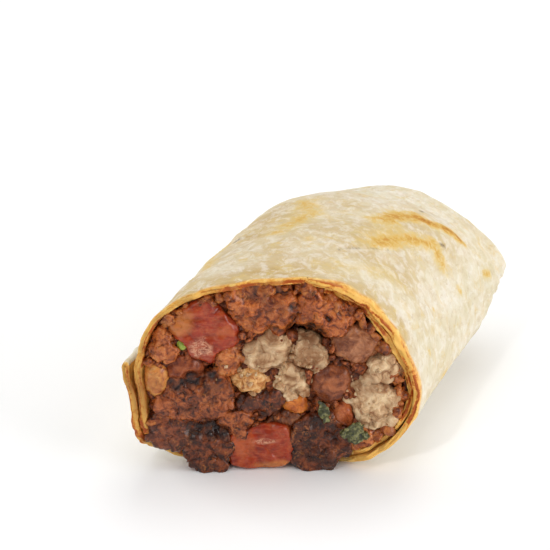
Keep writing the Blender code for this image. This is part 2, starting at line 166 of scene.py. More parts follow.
def soft_noise(points, seed):
    """Smooth noise from -1 to 1, with lumps about one unit wide."""
    cell = np.floor(points)
    part = points - cell
    part = part * part * (3 - 2 * part)
    cell = cell.astype(np.int64)
    total = np.zeros(points.shape[:-1])
    for corner in itertools.product((0, 1), repeat=3):
        weight = np.where(np.array(corner) == 1, part, 1 - part).prod(axis=-1)
        total += weight * cell_numbers(cell + np.array(corner), seed)
    return 2 * total - 1


def layered_noise(points, seed, octaves):
    """Soft noise with finer and weaker noise on it."""
    total = np.zeros(points.shape[:-1])
    for octave in range(octaves):
        total += soft_noise(points * 2**octave + 5.3 * octave, seed + octave) / 2**octave
    return total


def in_plane(first, second):
    """Points for noise that varies along two directions alone."""
    first, second = np.broadcast_arrays(first, second)
    return np.stack([first, second, np.zeros(first.shape)], axis=-1)


def grain_distance(points, seed):
    """Distance to the nearest of scattered grain middles, which lie about one unit apart."""
    cell = np.floor(points).astype(np.int64)
    nearest = np.full(points.shape[:-1], 9.0)
    for corner in itertools.product((-1, 0, 1), repeat=3):
        neighbour = cell + np.array(corner)
        spot = neighbour + np.stack([cell_numbers(neighbour, seed + axis) for axis in range(3)], axis=-1)
        nearest = np.minimum(nearest, np.linalg.norm(points - spot, axis=-1))
    return nearest


# The roll's form


def signed_power(value, power):
    return np.copysign(np.abs(value) ** power, value)


def cut_y(x, z):
    """Where the knife's plane crosses a line along the roll."""
    return x * math.tan(CUT_TURN) + (z - HEIGHT / 2) * math.tan(CUT_LEAN)


def outline(angle, share):
    """x and z of the roll's outer line."""
    cosine = np.cos(angle)
    sine = np.sin(angle)
    half = WIDTH / 2 * (1 + (END_SPREAD - 1) * ease(share, 0.6, 1.0))
    top = HEIGHT * (1 - TOP_FALL * ease(share, 0.1, 0.7))
    top = top + (END_TOP - top) * ease(share, 0.6, 1.0)
    low = END_RISE * ease(share, 0.72, 1.0) - SINK
    middle = low + (top - low) * MIDDLE
    upper = UPPER_POWER - 0.44 * cosine * (1 - ease(share, 0.3, 0.8))
    power = np.where(sine > 0, upper, LOWER_POWER - 0.5 * cosine)
    power = power + (END_POWER - power) * ease(share, 0.7, 1.0)
    reach = np.where(sine > 0, top - middle, middle - low)
    x = half * signed_power(cosine, 2 / power) + END_SHIFT * ease(share, 0.3, 1.0)
    return x, middle + reach * signed_power(sine, 2 / power)


def swell(angle, share):
    """Broad bumps of the roll's upper part, weaker near the cut."""
    above = ease(np.sin(angle), -0.6, 0.3)
    bumps = 0.50 * np.sin(2 * angle + 5 * share + 1.1)
    bumps += 0.40 * np.sin(3 * angle - 8 * share + 0.4)
    bumps += 0.30 * np.sin(5 * angle + 13 * share + 2.0)
    return above * (0.35 + 0.65 * ease(share, 0, 0.3)) * bumps


def past_edge(angle):
    """How far round the roll a place is from the sheet's free edge, up to a full turn."""
    return (angle - OUTER_EDGE) % FULL_TURN


def settle(past):
    """How far the layer under it still lifts the outer one, which lies down past its free edge."""
    return (SHEET + SLIP) * (1 - ease(past, 0, SETTLE_TURN))


def stand(past, share):
    """How far the outer layer stands out from the roll's line in all, most at its edge near the cut."""
    near_edge = 1 - ease(past, 0, SETTLE_TURN)
    ragged = 0.75 + 0.25 * np.sin(99 * share)
    return settle(past) + FLARE * near_edge * ragged * (1 - ease(share, 0.02, 0.26))


def rim_roughness(angle):
    """How far the cut edge strays from the knife's plane."""
    return 0.35 * np.sin(9 * angle + 0.7) + 0.25 * np.sin(23 * angle)


def rim_recess(x, z):
    """How far the rim stays back at the bottom, where food hangs over it."""
    along = ease(x, -34, -28) * (1 - ease(x, 12, 24))
    return RIM_RECESS * along * (1 - ease(z, 5, 12))


def plain_roll(angle, share, inward):
    """Points of the smooth roll, `inward` of its outer line, before any fine relief."""
    angle, share, inward = np.broadcast_arrays(angle, share, inward)
    x, z = outline(angle, share)
    before = outline(angle - SMALL_TURN, share)
    after = outline(angle + SMALL_TURN, share)
    along_x = after[0] - before[0]
    along_z = after[1] - before[1]
    length = np.hypot(along_x, along_z)
    out = swell(angle, share) - inward
    x = x + along_z / length * out
    z = z - along_x / length * out
    z = np.maximum(z, np.maximum(0.0, inward))
    start = cut_y(x, z)
    return np.stack([x, start + (LENGTH - start) * share, z], axis=-1)


SHIFT = np.array([0.127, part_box("tortilla")[1].y / MM - LENGTH - max(bulge for _, bulge in TUCK), 0.0])
CUT_CENTRE = np.array([0.0, cut_y(0, 0), 0.0]) + SHIFT
CUT_OUT = np.array([math.tan(CUT_TURN), -1.0, math.tan(CUT_LEAN)])
CUT_OUT /= np.linalg.norm(CUT_OUT)
CUT_ACROSS = np.array([math.cos(CUT_TURN), math.sin(CUT_TURN), 0.0])
CUT_UP = np.cross(CUT_OUT, CUT_ACROSS)
CUT_AXES = np.stack([CUT_ACROSS, CUT_UP, CUT_OUT])


def to_face(points):
    """(across, up, out) on the cut face of points in the part's axes."""
    return (points - CUT_CENTRE) @ CUT_AXES.T


def from_face(places):
    return np.asarray(places) @ CUT_AXES + CUT_CENTRE


# Meshes


class Shell:
    """Points in grids, the faces between them, and values kept for each point."""

    def __init__(self):
        self.points = []
        self.values = []
        self.faces = []
        self.count = 0

    def add(self, points, **values):
        """Adds an array of points and returns their numbers in the same layout."""
        shape = points.shape[:-1]
        numbers = np.arange(self.count, self.count + int(np.prod(shape))).reshape(shape)
        self.count += numbers.size
        self.points.append(points.reshape(-1, 3))
        self.values.append({name: np.broadcast_to(value, shape).ravel() for name, value in values.items()})
        return numbers

    def strip(self, first, second):
        """Faces between two rows."""
        self.faces.extend(zip(first[:-1], first[1:], second[1:], second[:-1]))

    def rows(self, grid, open_column=None, open_rows=0):
        """Faces between the rows of a closed ring of columns, but none at the open column near the cut."""
        for row, (near, far) in enumerate(zip(grid, grid[1:])):
            near = np.append(near, near[0])
            far = np.append(far, far[0])
            if row < open_rows:
                self.strip(near[: open_column + 1], far[: open_column + 1])
                self.strip(near[open_column + 1 :], far[open_column + 1 :])
            else:
                self.strip(near, far)

    def all_points(self):
        return np.concatenate(self.points)

    def value(self, name):
        return np.concatenate([values[name] for values in self.values])


def add_object(name, data):
    obj = bpy.data.objects.new(name, data)
    bpy.context.scene.collection.objects.link(obj)
    return obj


def finish_mesh(name, points, faces, **values):
    """A smooth, closed object in metres with its faces pointing out and nothing under the floor."""
    points = np.maximum(points, (-np.inf, -np.inf, 0.0))
    data = bpy.data.meshes.new(name)
    data.from_pydata((points * MM).tolist(), [], [tuple(int(i) for i in face) for face in faces])
    mesh = bmesh.new()
    mesh.from_mesh(data)
    bmesh.ops.recalc_face_normals(mesh, faces=mesh.faces)
    if mesh.calc_volume(signed=True) < 0:
        bmesh.ops.reverse_faces(mesh, faces=mesh.faces)
    mesh.to_mesh(data)
    mesh.free()
    data.shade_smooth()
    obj = add_object(name, data)
    for key, value in values.items():
        set_value(obj, key, value)
    return obj


def vectors(items, key):
    numbers = np.zeros(len(items) * 3, np.float32)
    items.foreach_get(key, numbers)
    return numbers.reshape(-1, 3).astype(float)


def points_of(obj):
    return vectors(obj.data.vertices, "co") / MM


def normals_of(obj):
    return vectors(obj.data.vertex_normals, "vector")


def move_points(obj, points):
    """Sets a piece's points, with none of them on the floor or under it."""
    points = np.maximum(points, (-np.inf, -np.inf, 0.05))
    obj.data.vertices.foreach_set("co", (points * MM).astype(np.float32).ravel())
    obj.data.update()


def set_value(obj, name, values):
    """Keeps a value for each point of the mesh, for its material."""
    found = obj.data.attributes.get(name) or obj.data.attributes.new(name, "FLOAT", "POINT")
    found.data.foreach_set("value", values.astype(np.float32))


# Materials

MIX_FIRST = 6  # a mix node has sockets of one name for numbers and for colours: these are for colours
MIX_SECOND = 7
MIX_COLOUR = 2


class Nodes:
    """Short ways to add shader nodes. Colours are given as a screen shows them, from 0 to 255."""

    def __init__(self, name):
        self.material = bpy.data.materials.new(name)
        self.material.use_nodes = True
        self.tree = self.material.node_tree
        self.place = self.node("TexCoord", {}).outputs["Object"]

    def node(self, kind, inputs, **settings):
        """Adds a node with its settings and with what its inputs get."""
        node = self.tree.nodes.new("ShaderNode" + kind)
        for name, value in settings.items():
            setattr(node, name, value)
        self.feed(node, inputs)
        return node

    def feed(self, node, inputs):
        """Links an output to its socket, and sets a number or a colour on it."""
        for name, source in inputs.items():
            if isinstance(source, bpy.types.NodeSocket):
                self.tree.links.new(source, node.inputs[name])
            else:
                node.inputs[name].default_value = source

    def noise(self, size, detail, rough=0.55, stretch=(1, 1, 1), warp=0.0):
        """Noise with lumps `size` millimetres wide, about 0.5 in the mean."""
        scale = [value / (size * MM) for value in stretch]
        mapping = self.node("Mapping", {"Vector": self.place, "Scale": scale})
        inputs = {"Scale": 1.0, "Detail": detail, "Roughness": rough, "Distortion": warp}
        inputs["Vector"] = mapping.outputs["Vector"]
        return self.node("TexNoise", inputs).outputs["Fac"]

    def value(self, name):
        """A value kept for each point of the mesh."""
        return self.node("Attribute", {}, attribute_name=name).outputs["Fac"]

    def ramp(self, source, *stops):
        """Colours along a value: each stop is a place from 0 to 1, then red, green and blue."""
        node = self.node("ValToRGB", {"Fac": source})
        elements = node.color_ramp.elements
        while len(elements) < len(stops):
            elements.new(0.5)
        for element, (spot, *colour) in zip(elements, stops):
            element.position = spot
            element.color = srgb(*colour)
        return node.outputs["Color"]

    def span(self, source, low, high, start=0.0, end=1.0):
        """A value moved from one range to another, smoothly and within its ends."""
        inputs = {"Value": source, "From Min": low, "From Max": high, "To Min": start, "To Max": end}
        return self.node("MapRange", inputs, interpolation_type="SMOOTHSTEP").outputs["Result"]

    def times(self, first, second):
        return self.node("Math", {0: first, 1: second}, operation="MULTIPLY").outputs["Value"]

    def plus(self, first, second):
        """A sum that stays below 1."""
        return self.node("Math", {0: first, 1: second}, operation="ADD", use_clamp=True).outputs["Value"]

    def mix(self, factor, first, second):
        """The first colour where the factor is 0, and the second where it is 1."""
        first, second = (srgb(*colour) if isinstance(colour, tuple) else colour for colour in (first, second))
        inputs = {"Factor": factor, MIX_FIRST: first, MIX_SECOND: second}
        return self.node("Mix", inputs, data_type="RGBA").outputs[MIX_COLOUR]

    def bump(self, height, depth, under=None):
        """Relief of a height from 0 to 1 that is `depth` millimetres deep."""
        inputs = {"Strength": 1.0, "Distance": depth * MM, "Height": height}
        if under is not None:
            inputs["Normal"] = under
        return self.node("Bump", inputs).outputs["Normal"]

    def finish(self, colour, roughness, normal, glow=0.0, glow_reach=1.0, coat=0.0, specular=0.5):
        """Sets the shader. glow is how much light passes under the surface, as deep as glow_reach."""
        self.feed(self.tree.nodes["Principled BSDF"], {
            "Base Color": colour,
            "Roughness": roughness,
            "Normal": normal,
            "Subsurface Weight": glow,
            "Subsurface Radius": (1.0, 0.45, 0.25),
            "Subsurface Scale": glow_reach * MM,
            "Coat Weight": coat,
            "Coat Roughness": 0.12,
            "Specular IOR Level": specular,
        })
        return self.material


def tortilla_material():
    n = Nodes("toasted_tortilla")
    cream = n.ramp(n.noise(13, 4, 0.6), (0.34, 214, 201, 168), (0.5, 223, 212, 187), (0.66, 228, 220, 202))
    tones = n.span(n.noise(6, 4, 0.6, HOOPS, warp=0.8), 0.4, 0.65)
    # The warm value turns the cream tan: partly the oil-soaked tone and partly painted shade on the top and
    # near the cut.
    cream = n.mix(n.value("warm"), cream, n.mix(tones, (192, 162, 106), (205, 180, 130)))
    yellow = n.span(n.noise(4.6, 5, 0.72, (0.8, 1.0, 0.8), warp=0.8), 0.5, 0.66)
    cream = n.mix(n.times(yellow, 0.5), cream, (216, 188, 118))
    flour = n.span(n.noise(3.2, 5, 0.72, warp=0.6), 0.44, 0.64)
    cream = n.mix(n.times(flour, 0.5), cream, (237, 232, 222))
    grey = n.span(n.noise(1.8, 5, 0.72, warp=0.5), 0.5, 0.68)
    cream = n.mix(n.times(grey, 0.45), cream, (192, 168, 130))

    mottled = n.span(n.noise(1.6, 5, 0.72, warp=0.8), 0.3, 0.62, 0.5, 1.2)
    brown = n.times(n.value("toast"), mottled)
    toasted = (0.0, 226, 204, 128), (0.4, 218, 182, 98), (0.8, 196, 142, 62), (1.0, 176, 116, 46)
    colour = n.mix(n.span(brown, 0.02, 0.6), cream, n.ramp(brown, *toasted))
    colour = n.mix(n.value("mark"), colour, (92, 66, 40))

    oil = n.value("oil")
    smears = n.noise(2.4, 5, 0.7, warp=0.8)
    stain = n.ramp(smears, (0.38, 212, 140, 58), (0.5, 230, 176, 84), (0.62, 244, 212, 134))
    colour = n.mix(n.span(oil, 0.0, 0.55), colour, stain)
    # The strand value holds the oil strands and, at the lower right of the rim, painted light.
    soak = n.times(n.plus(n.noise(1.1, 4, 0.65, warp=0.6), n.value("strand_and_painted_light")), 0.52)
    dark_oil = (0.38, 176, 84, 30), (0.46, 222, 146, 60), (0.52, 240, 188, 96)
    light_oil = (0.6, 248, 220, 140), (0.68, 252, 240, 196)
    colour = n.mix(n.span(oil, 0.4, 0.9), colour, n.ramp(soak, *dark_oil, *light_oil))
    colour = n.mix(n.value("sauce"), colour, (120, 48, 18))
    fine = n.bump(n.noise(0.5, 4, 0.6), 0.06)
    crepe = n.bump(n.noise(1.9, 4, 0.6, HOOPS, warp=0.8), 0.25, fine)
    return n.finish(colour, n.span(oil, 0.0, 1.0, 0.62, 0.34), crepe, glow=0.1, glow_reach=1.4, specular=0.22)


def wet_material(name, light, middle, dark, tone_size=2.2, fine_depth=0.09, rough=(0.22, 0.55), glow=0.05,
                 coat=0.15, sauce=(34, 11, 5), speck=(226, 138, 68), specks=0.6, char=0.5):
    """Sauced food: three tones in patches, dark sauce and painted shade in its pits, oil specks that are
    partly painted glints, charred dots and a wet grain.
    """
    n = Nodes(name)
    patches = n.noise(tone_size, 4, 0.66, warp=0.8)
    colour = n.ramp(patches, (0.36, *dark), (0.49, *middle), (0.64, *light))
    broad = n.noise(tone_size * 3.0, 3, 0.5)
    colour = n.mix(n.span(broad, 0.48, 0.70, 0.0, 0.6), colour, dark)
    # Oil specks: light spots that are partly oil and partly painted glints, standing in for small highlights.
    oil_and_glint_specks = n.span(n.noise(1.3, 4, 0.68, warp=1.0), 0.52, 0.74)
    oil_and_glint_specks = n.times(oil_and_glint_specks, n.span(n.noise(5.0, 2), 0.4, 0.62, 0.25, 1.0))
    colour = n.mix(n.times(oil_and_glint_specks, specks), colour, speck)
    burnt = n.span(n.noise(2.2, 6, 0.75, warp=0.7), 0.53, 0.7)
    colour = n.mix(n.times(burnt, char), colour, (48, 17, 7))
    # The deep value paints the sauce colour into pits, behind the cut and in its gaps: partly real sauce,
    # partly painted shade.
    colour = n.mix(n.value("deep"), colour, sauce)
    shine = n.span(n.noise(0.9, 4, 0.6), 0.35, 0.65, *rough)
    relief = n.bump(n.noise(WET_GRAIN, 4, 0.65), fine_depth)
    relief = n.bump(n.noise(WET_GRAIN * 3.2, 4, 0.6), fine_depth * 2.4, relief)
    return n.finish(colour, shine, relief, glow=glow, coat=coat, specular=0.24)


# The tortilla


def even_angles(start, end, count):
    """Angles that lie evenly along the roll's line."""
    fine = np.linspace(start, end, 6001)
    x, z = outline(fine, 0.2)
    along = np.concatenate([[0], np.cumsum(np.hypot(np.diff(x), np.diff(z)))])
    return np.interp(np.linspace(0, along[-1], count), along, fine)


def sheet_place(angle, share):
    """Millimetres round the roll from the free edge, and along it from the cut."""
    return past_edge(angle) * ROLL_RADIUS, share * LENGTH


def sheet_noise(around, along, round_size, along_size, seed, octaves):
    """Noise on the sheet with its own sizes round the roll and along it."""
    around, along = np.broadcast_arrays(around, along)
    spots = np.stack([around / round_size, along / along_size, np.full(around.shape, seed * 1.37)], axis=-1)
    return layered_noise(spots, seed, octaves)


def flat_noise(angle, share, round_size, along_size, seed, octaves):
    return sheet_noise(*sheet_place(angle, share), round_size, along_size, seed, octaves)


def distance_to_line(angle, share, line):
    """Millimetres on the sheet from each place to a line of places given in degrees and shares."""
    around, along = sheet_place(angle, share)
    nearest = np.full(np.shape(around), 1e3)
    ends = [sheet_place(math.radians(degrees), spot) for degrees, spot in line]
    for (a0, b0), (a1, b1) in zip(ends, ends[1:]):
        length = (a1 - a0) ** 2 + (b1 - b0) ** 2
        t = np.clip(((around - a0) * (a1 - a0) + (along - b0) * (b1 - b0)) / length, 0, 1)
        nearest = np.minimum(nearest, np.hypot(around - a0 - t * (a1 - a0), along - b0 - t * (b1 - b0)))
    return nearest


def spot_places(count, seed, radius):
    """Steady draws of spots anywhere on the sheet: (around, along, radius, strength)."""
    draws = np.random.default_rng(seed)
    around = draws.uniform(0, FULL_TURN * ROLL_RADIUS, count)
    along = draws.uniform(2, LENGTH * 0.97, count)
    return np.stack([around, along, draws.uniform(*radius, count), draws.uniform(0.35, 1.0, count)], axis=-1)


def relief(angle, share):
    """The sheet's fine form, the same on both sides of the place where the free edge lies on the sheet."""
    overlap = 1 - ease(past_edge(angle), 0, EDGE_BLEND)
    height = fine_form(angle, share, 0.0)
    under = fine_form(angle, share, FULL_TURN)
    return height * (1 - overlap) + under * overlap


def fine_form(angle, share, further):
    """How far the sheet stands out: puckers, hoop wrinkles, blisters and one crease."""
    above = ease(np.sin(angle), -0.8, -0.15)
    around, along = sheet_place(angle, share)
    around = around + further * ROLL_RADIUS
    height = 0.34 * sheet_noise(around, along, 13.0, 8.0, 3, 2)
    ridge = 1 - np.abs(sheet_noise(around, along, 26.0, 3.0, 7, 2))
    height += (0.12 + 0.62 * ease(share, 0.55, 0.85)) * (np.clip(ridge, 0, 1) ** 3 - 0.35)
    slant = 1 - np.abs(sheet_noise(around + along * 0.4, along, 7.0, 5.0, 11, 2))
    height += 0.22 * (np.clip(slant, 0, 1) ** 4 - 0.3) * ease(share, 0.03, 0.12)
    height += 0.05 * sheet_noise(around, along, 1.3, 1.1, 17, 2)
    for spot_around, spot_along, radius, strength in spot_places(BLISTERS, 5, (1.4, 3.6)):
        distance = np.hypot(around - spot_around, along - spot_along)
        height += 0.30 * strength * (1 - ease(distance, radius * 0.35, radius))
    fold = distance_to_line(angle, share, CREASE)
    height -= CREASE_DEPTH * np.exp(-(fold / CREASE_WIDTH) ** 2)
    return height * above


def edge_wander(angle, share):
    """How far the free edge, and what lies next to it, strays round the roll."""
    past = past_edge(angle)
    near = 1 - ease(np.minimum(past, FULL_TURN - past), 0, EDGE_BLEND)
    waves = 0.02 * np.sin(17 * share + 0.4) + 0.014 * np.sin(41 * share + 2.0) + 0.008 * np.sin(97 * share)
    return near * waves


def sheet_points(angle, share, inward, behind=0.0, past_place=0.0):
    """Points of the wrinkled sheet. `behind` sets its rim back, and past_place turns points on a little."""
    angle, share, inward, behind = np.broadcast_arrays(angle, share, inward, behind)
    lift = relief(angle, share)
    points = plain_roll(angle + edge_wander(angle, share) + past_place, share, inward - lift)
    x, z = points[..., 0], points[..., 2]
    torn = rim_roughness(angle) + rim_recess(x, z) + behind
    torn = torn + 0.35 * flat_noise(angle, 0.0, 1.5, 1.0, 23, 3)
    points[..., 1] += torn * np.clip(1 - share / RIM_FADE, 0, 1)
    return points


def layer_step(angle):
    """How far the inner layer's rim is set back: most on the side away from the free edge."""
    past = past_edge(angle)
    side = ease(past, math.radians(120), math.radians(170))
    return LAYER_STEP * side * (0.75 + 0.45 * np.sin(7 * angle + 0.6))


def row_shares(end, count):
    """Where rows lie along the roll: closely until the end of the slip, then evenly."""
    near = np.linspace(0, SLIP_END, NEAR_ROWS + 1)
    return np.concatenate([near, np.linspace(SLIP_END, end, count + 1)[1:]])[:, None]


def make_tortilla():
    """The sheet as one closed skin: outside, inside, the slit between its layers, the rim and the fold."""
    shell = Shell()
    single = even_angles(INNER_EDGE, OUTER_EDGE - 1e-6, SINGLE_COLUMNS + 1)
    double = even_angles(OUTER_EDGE, INNER_EDGE + FULL_TURN, DOUBLE_COLUMNS + 1)
    middle = double[1:-1]
    past = past_edge(middle)
    turn = np.linspace(0, math.pi, NOSE_POINTS)
    nose_reach = SHEET / 2 * np.sin(turn) / ROLL_RADIUS
    nose_height = SHEET / 2 * np.cos(turn)

    shares = row_shares(1, BODY_ROWS)
    nose_angles = np.full(NOSE_POINTS, OUTER_EDGE)
    lift = SHEET / 2 - stand(0.0, shares)
    outside = np.concatenate([
        sheet_points(single, shares, 0.0),
        sheet_points(nose_angles, shares, lift + nose_height, 0.0, -nose_reach),
        sheet_points(middle, shares, -stand(past, shares)),
    ], axis=1)
    columns = np.concatenate([single, nose_angles, middle])
    outer = shell.add(outside, angle=columns, share=shares, inner=0.0)

    near = shares[: NEAR_ROWS + 1]
    under_flap = sheet_points(middle, near, SHEET - stand(past, near))
    upper = shell.add(under_flap, angle=middle, share=near, inner=1.0)
    on_inner_layer = sheet_points(middle, near, SHEET + SLIP - settle(past), layer_step(middle))
    lower = shell.add(on_inner_layer, angle=middle, share=near, inner=0.8)

    inner_shares = row_shares(CAVITY_END, INNER_ROWS)
    last = double[1:]
    end_step = layer_step(last[-1:])
    inner_nose = np.full(NOSE_POINTS - 2, INNER_EDGE + FULL_TURN)
    nose_inward = 1.5 * SHEET + SLIP + nose_height[1:-1]
    inside = np.concatenate([
        sheet_points(single, inner_shares, SHEET),
        sheet_points(last, inner_shares, 2 * SHEET + SLIP - settle(past_edge(last)), layer_step(last)),
        sheet_points(inner_nose, inner_shares, nose_inward, end_step, nose_reach[1:-1]),
        sheet_points(last[-1:], inner_shares, SHEET + SLIP, end_step),
    ], axis=1)
    inner_columns = np.concatenate([single, last, inner_nose, last[-1:]])
    inner = shell.add(inside, angle=inner_columns, share=inner_shares, inner=1.0)

    shell.rows(outer, SINGLE_COLUMNS, NEAR_ROWS)
    shell.rows(inner, inner.shape[1] - 1, NEAR_ROWS)
    first_nose = SINGLE_COLUMNS + 1
    upper_wall = np.column_stack([outer[: NEAR_ROWS + 1, first_nose], upper, inner[: NEAR_ROWS + 1, 0]])
    lower_wall = np.column_stack([outer[: NEAR_ROWS + 1, SINGLE_COLUMNS], lower, inner[: NEAR_ROWS + 1, -1]])
    for wall in (upper_wall, lower_wall):
        for first, second in zip(wall, wall[1:]):
            shell.strip(first, second)
    shell.strip(upper_wall[-1], lower_wall[-1])

    add_rim(shell, outer, inner, upper, lower, first_nose, len(last))
    add_tuck(shell, outer[-1], inner[-1], columns, inner_columns)
    values = sheet_looks(shell.value("angle"), shell.value("share"), shell.value("inner"))
    return finish_mesh("tortilla_sheet", shell.all_points() + SHIFT, shell.faces, **values)


def add_rim(shell, outer, inner, upper, lower, first_nose, last_count):
    """The cut edge of the sheet, from its free edge round to its inner edge, with a crowned thickness."""
    last_nose = first_nose + NOSE_POINTS - 1
    top = [*outer[0, last_nose:], *outer[0, : SINGLE_COLUMNS + 1], *lower[0], inner[0, -1]]
    bottom_last = SINGLE_COLUMNS + 1 + last_count
    bottom = [outer[0, first_nose], *upper[0], *inner[0, :bottom_last]]
    points = shell.all_points()
    angles = shell.value("angle")
    high = points[top]
    low = points[bottom]
    along = np.arange(len(top))
    rows = [np.array(top)]
    for fraction in RIM_FRACTIONS:
        row = high * (1 - fraction) + low * fraction
        flaky = layered_noise(in_plane(along * 0.11, fraction * 5.3), 41, 3)
        ragged = layered_noise(in_plane(along * 0.37, fraction * 3.1), 43, 2)
        torn = fraction * (0.25 + 0.5 * ease(np.cos(angles[top]), 0.0, 0.6))
        row[:, 1] -= RIM_CROWN * 4 * fraction * (1 - fraction) + 0.34 * flaky + torn * ragged
        rows.append(shell.add(row, angle=angles[top], share=0.0, inner=0.25 + 0.5 * fraction))
    rows.append(np.array(bottom))
    for first, second in zip(rows, rows[1:]):
        shell.strip(first, second)
    between = [row[0] for row in rows[1:-1]]
    shell.faces.append((*outer[0, first_nose : last_nose + 1], *between))
    between = [row[-1] for row in rows[1:-1]]
    shell.faces.append((*inner[0, bottom_last - 1 :], *between))


def cavity_end(points, short):
    """The last ring of the hollow, `short` millimetres before its end and drawn in towards its middle."""
    z = points[:, 2] + (CAVITY_MIDDLE - points[:, 2]) * 0.3
    return np.stack([points[:, 0] * 0.7, np.full(len(points), CAVITY_END * LENGTH - short), z], axis=-1)


def add_tuck(shell, rim, inner_rim, columns, inner_columns):
    """The folded end, drawn in from the lip to the crease across its middle, and the cavity's end."""
    points = shell.all_points()[rim]
    steps = np.linspace(0, len(TUCK) - 1, TUCK_ROWS + 1)
    closeness = np.interp(steps, np.arange(len(TUCK)), [ring[0] for ring in TUCK])
    bulge = np.interp(steps, np.arange(len(TUCK)), [ring[1] for ring in TUCK])
    window = np.array([0.25, 0.5, 0.25])
    for _ in range(3):
        bulge[1:-1] = np.convolve(bulge, window, "valid")
    crease = END_RISE + (END_TOP - END_RISE) * 0.42
    rows = [rim]
    for close, out in zip(closeness[1:], bulge[1:]):
        x = END_SHIFT + (points[:, 0] - END_SHIFT) * (1 - 0.1 * (1 - close))
        bow = 1.6 * np.sin(x * 0.11 + 0.5) * (1 - close)
        z = crease + bow + (points[:, 2] - crease) * close
        pleat = 0.7 * np.sin(x * 0.42 + 2.2 * np.sin(x * 0.13)) * (1 - close) * ease(close, 0.05, 0.4)
        y = LENGTH + out + (points[:, 1] - LENGTH) * close + pleat
        y += 0.3 * layered_noise(in_plane(x / 5, z / 2.6), 47, 3) * ease(1 - close, 0.0, 0.2)
        rows.append(shell.add(np.stack([x, y, z], axis=-1), angle=columns, share=1.0, inner=0.0))
    shell.rows(np.array(rows))
    shell.faces.append(tuple(rows[-1]))
    end = cavity_end(shell.all_points()[inner_rim], 0.5)
    deepest = shell.add(end, angle=inner_columns, share=CAVITY_END, inner=1.0)
    shell.rows(np.array([inner_rim, deepest]))
    shell.faces.append(tuple(deepest))


def sheet_looks(angle, share, inner):
    """Where the sheet is toasted, oil-soaked, sauced or marked, with its painted shade and painted light, for
    each point.
    """
    around, along = sheet_place(angle, share)
    up = np.sin(angle)
    right = np.cos(angle)
    outside = 1 - ease(inner, 0.0, 0.25)
    breakup = flat_noise(angle, share, 3.0, 2.4, 51, 3)
    toast = np.zeros(len(angle))
    for line, width, strength in TOASTED:
        distance = distance_to_line(angle, share, line) + 0.3 * width * breakup
        toast = np.maximum(toast, strength * (1 - ease(distance, -width * 0.4, width * 1.9)))
    for spot_around, spot_along, radius, strength in spot_places(LOOSE_SPOTS, 8, (0.7, 2.2)):
        distance = np.hypot(around - spot_around, (along - spot_along) * 0.8) + 0.5 * radius * breakup
        toast = np.maximum(toast, 0.5 * strength * (1 - ease(distance, 0, radius)))
    mark = np.zeros(len(angle))
    for line in DARK_MARKS:
        mark = np.maximum(mark, 0.8 * (1 - ease(distance_to_line(angle, share, line), 0.15, 0.75)))
    # The mark grows darker along the crease line.
    from_crease = distance_to_line(angle, share, CREASE)
    mark = np.maximum(mark, 0.45 * (1 - ease(from_crease + 0.8 * np.abs(breakup), 0.05, 0.7)))
    from_rim = along * np.cos(CUT_TURN)
    right_side = ease(right, -0.35, 0.45)
    reach = (1.1 + 2.1 * right_side) * (1 + 0.45 * flat_noise(angle, 0.0, 5.0, 1.0, 53, 2))
    soaked = np.clip(1.15 - from_rim / reach, 0, 1) * (0.42 + 0.35 * right_side) * outside
    # Less oil colour at the top left, where the rim is cream, and at the bottom, where the paler colour is
    # painted light.
    pale_rim_and_painted_light = 0.35 * ease(up, 0.5, 0.95) * (1 - right_side) + 0.3 * ease(-up, 0.5, 0.9)
    depth_oil = ease(inner, 0.0, 0.4) * (1.0 + 0.2 * breakup - pale_rim_and_painted_light)
    oil = np.clip(np.maximum(soaked, depth_oil), 0, 1)
    smear = flat_noise(angle, share, 4.0, 2.0, 61, 3)
    sauce = ease(smear, 0.1, 0.8) * ease(inner, 0.85, 1.0) * 0.85
    stained = ease(-right, 0.3, 0.9) * ease(inner, 0.1, 0.75) * (0.45 + 0.7 * smear)
    sauce = np.clip(np.maximum(sauce, 0.8 * stained), 0, 1)
    strand_and_painted_light = 0.5 + 0.5 * sheet_noise(around, inner, 9.0, 0.22, 67, 3)
    # Painted light: the rim's oil is made paler at the lower right, where less light reaches it.
    strand_and_painted_light += 0.2 * ease(-up, 0.1, 0.7) * ease(right, 0.0, 0.4)
    # The warm tan on the top and near the cut rim is partly the oil-soaked tone and partly painted shade.
    over = ease(up, 0.25, 0.9) * (1 - ease(share, 0.62, 0.85))
    near = (1 - ease(from_rim, 3.0, 16.0)) * ease(up, 0.2, 0.7)
    warm = np.clip(np.maximum(over * 0.62, near) + 0.4 * flat_noise(angle, share, 14.0, 12.0, 71, 2), 0, 1)
    looks = {"toast": toast * outside, "mark": mark * outside, "warm": warm * outside}
    return looks | {"oil": oil, "sauce": sauce, "strand_and_painted_light": np.clip(strand_and_painted_light, 0, 1)}


# The filling


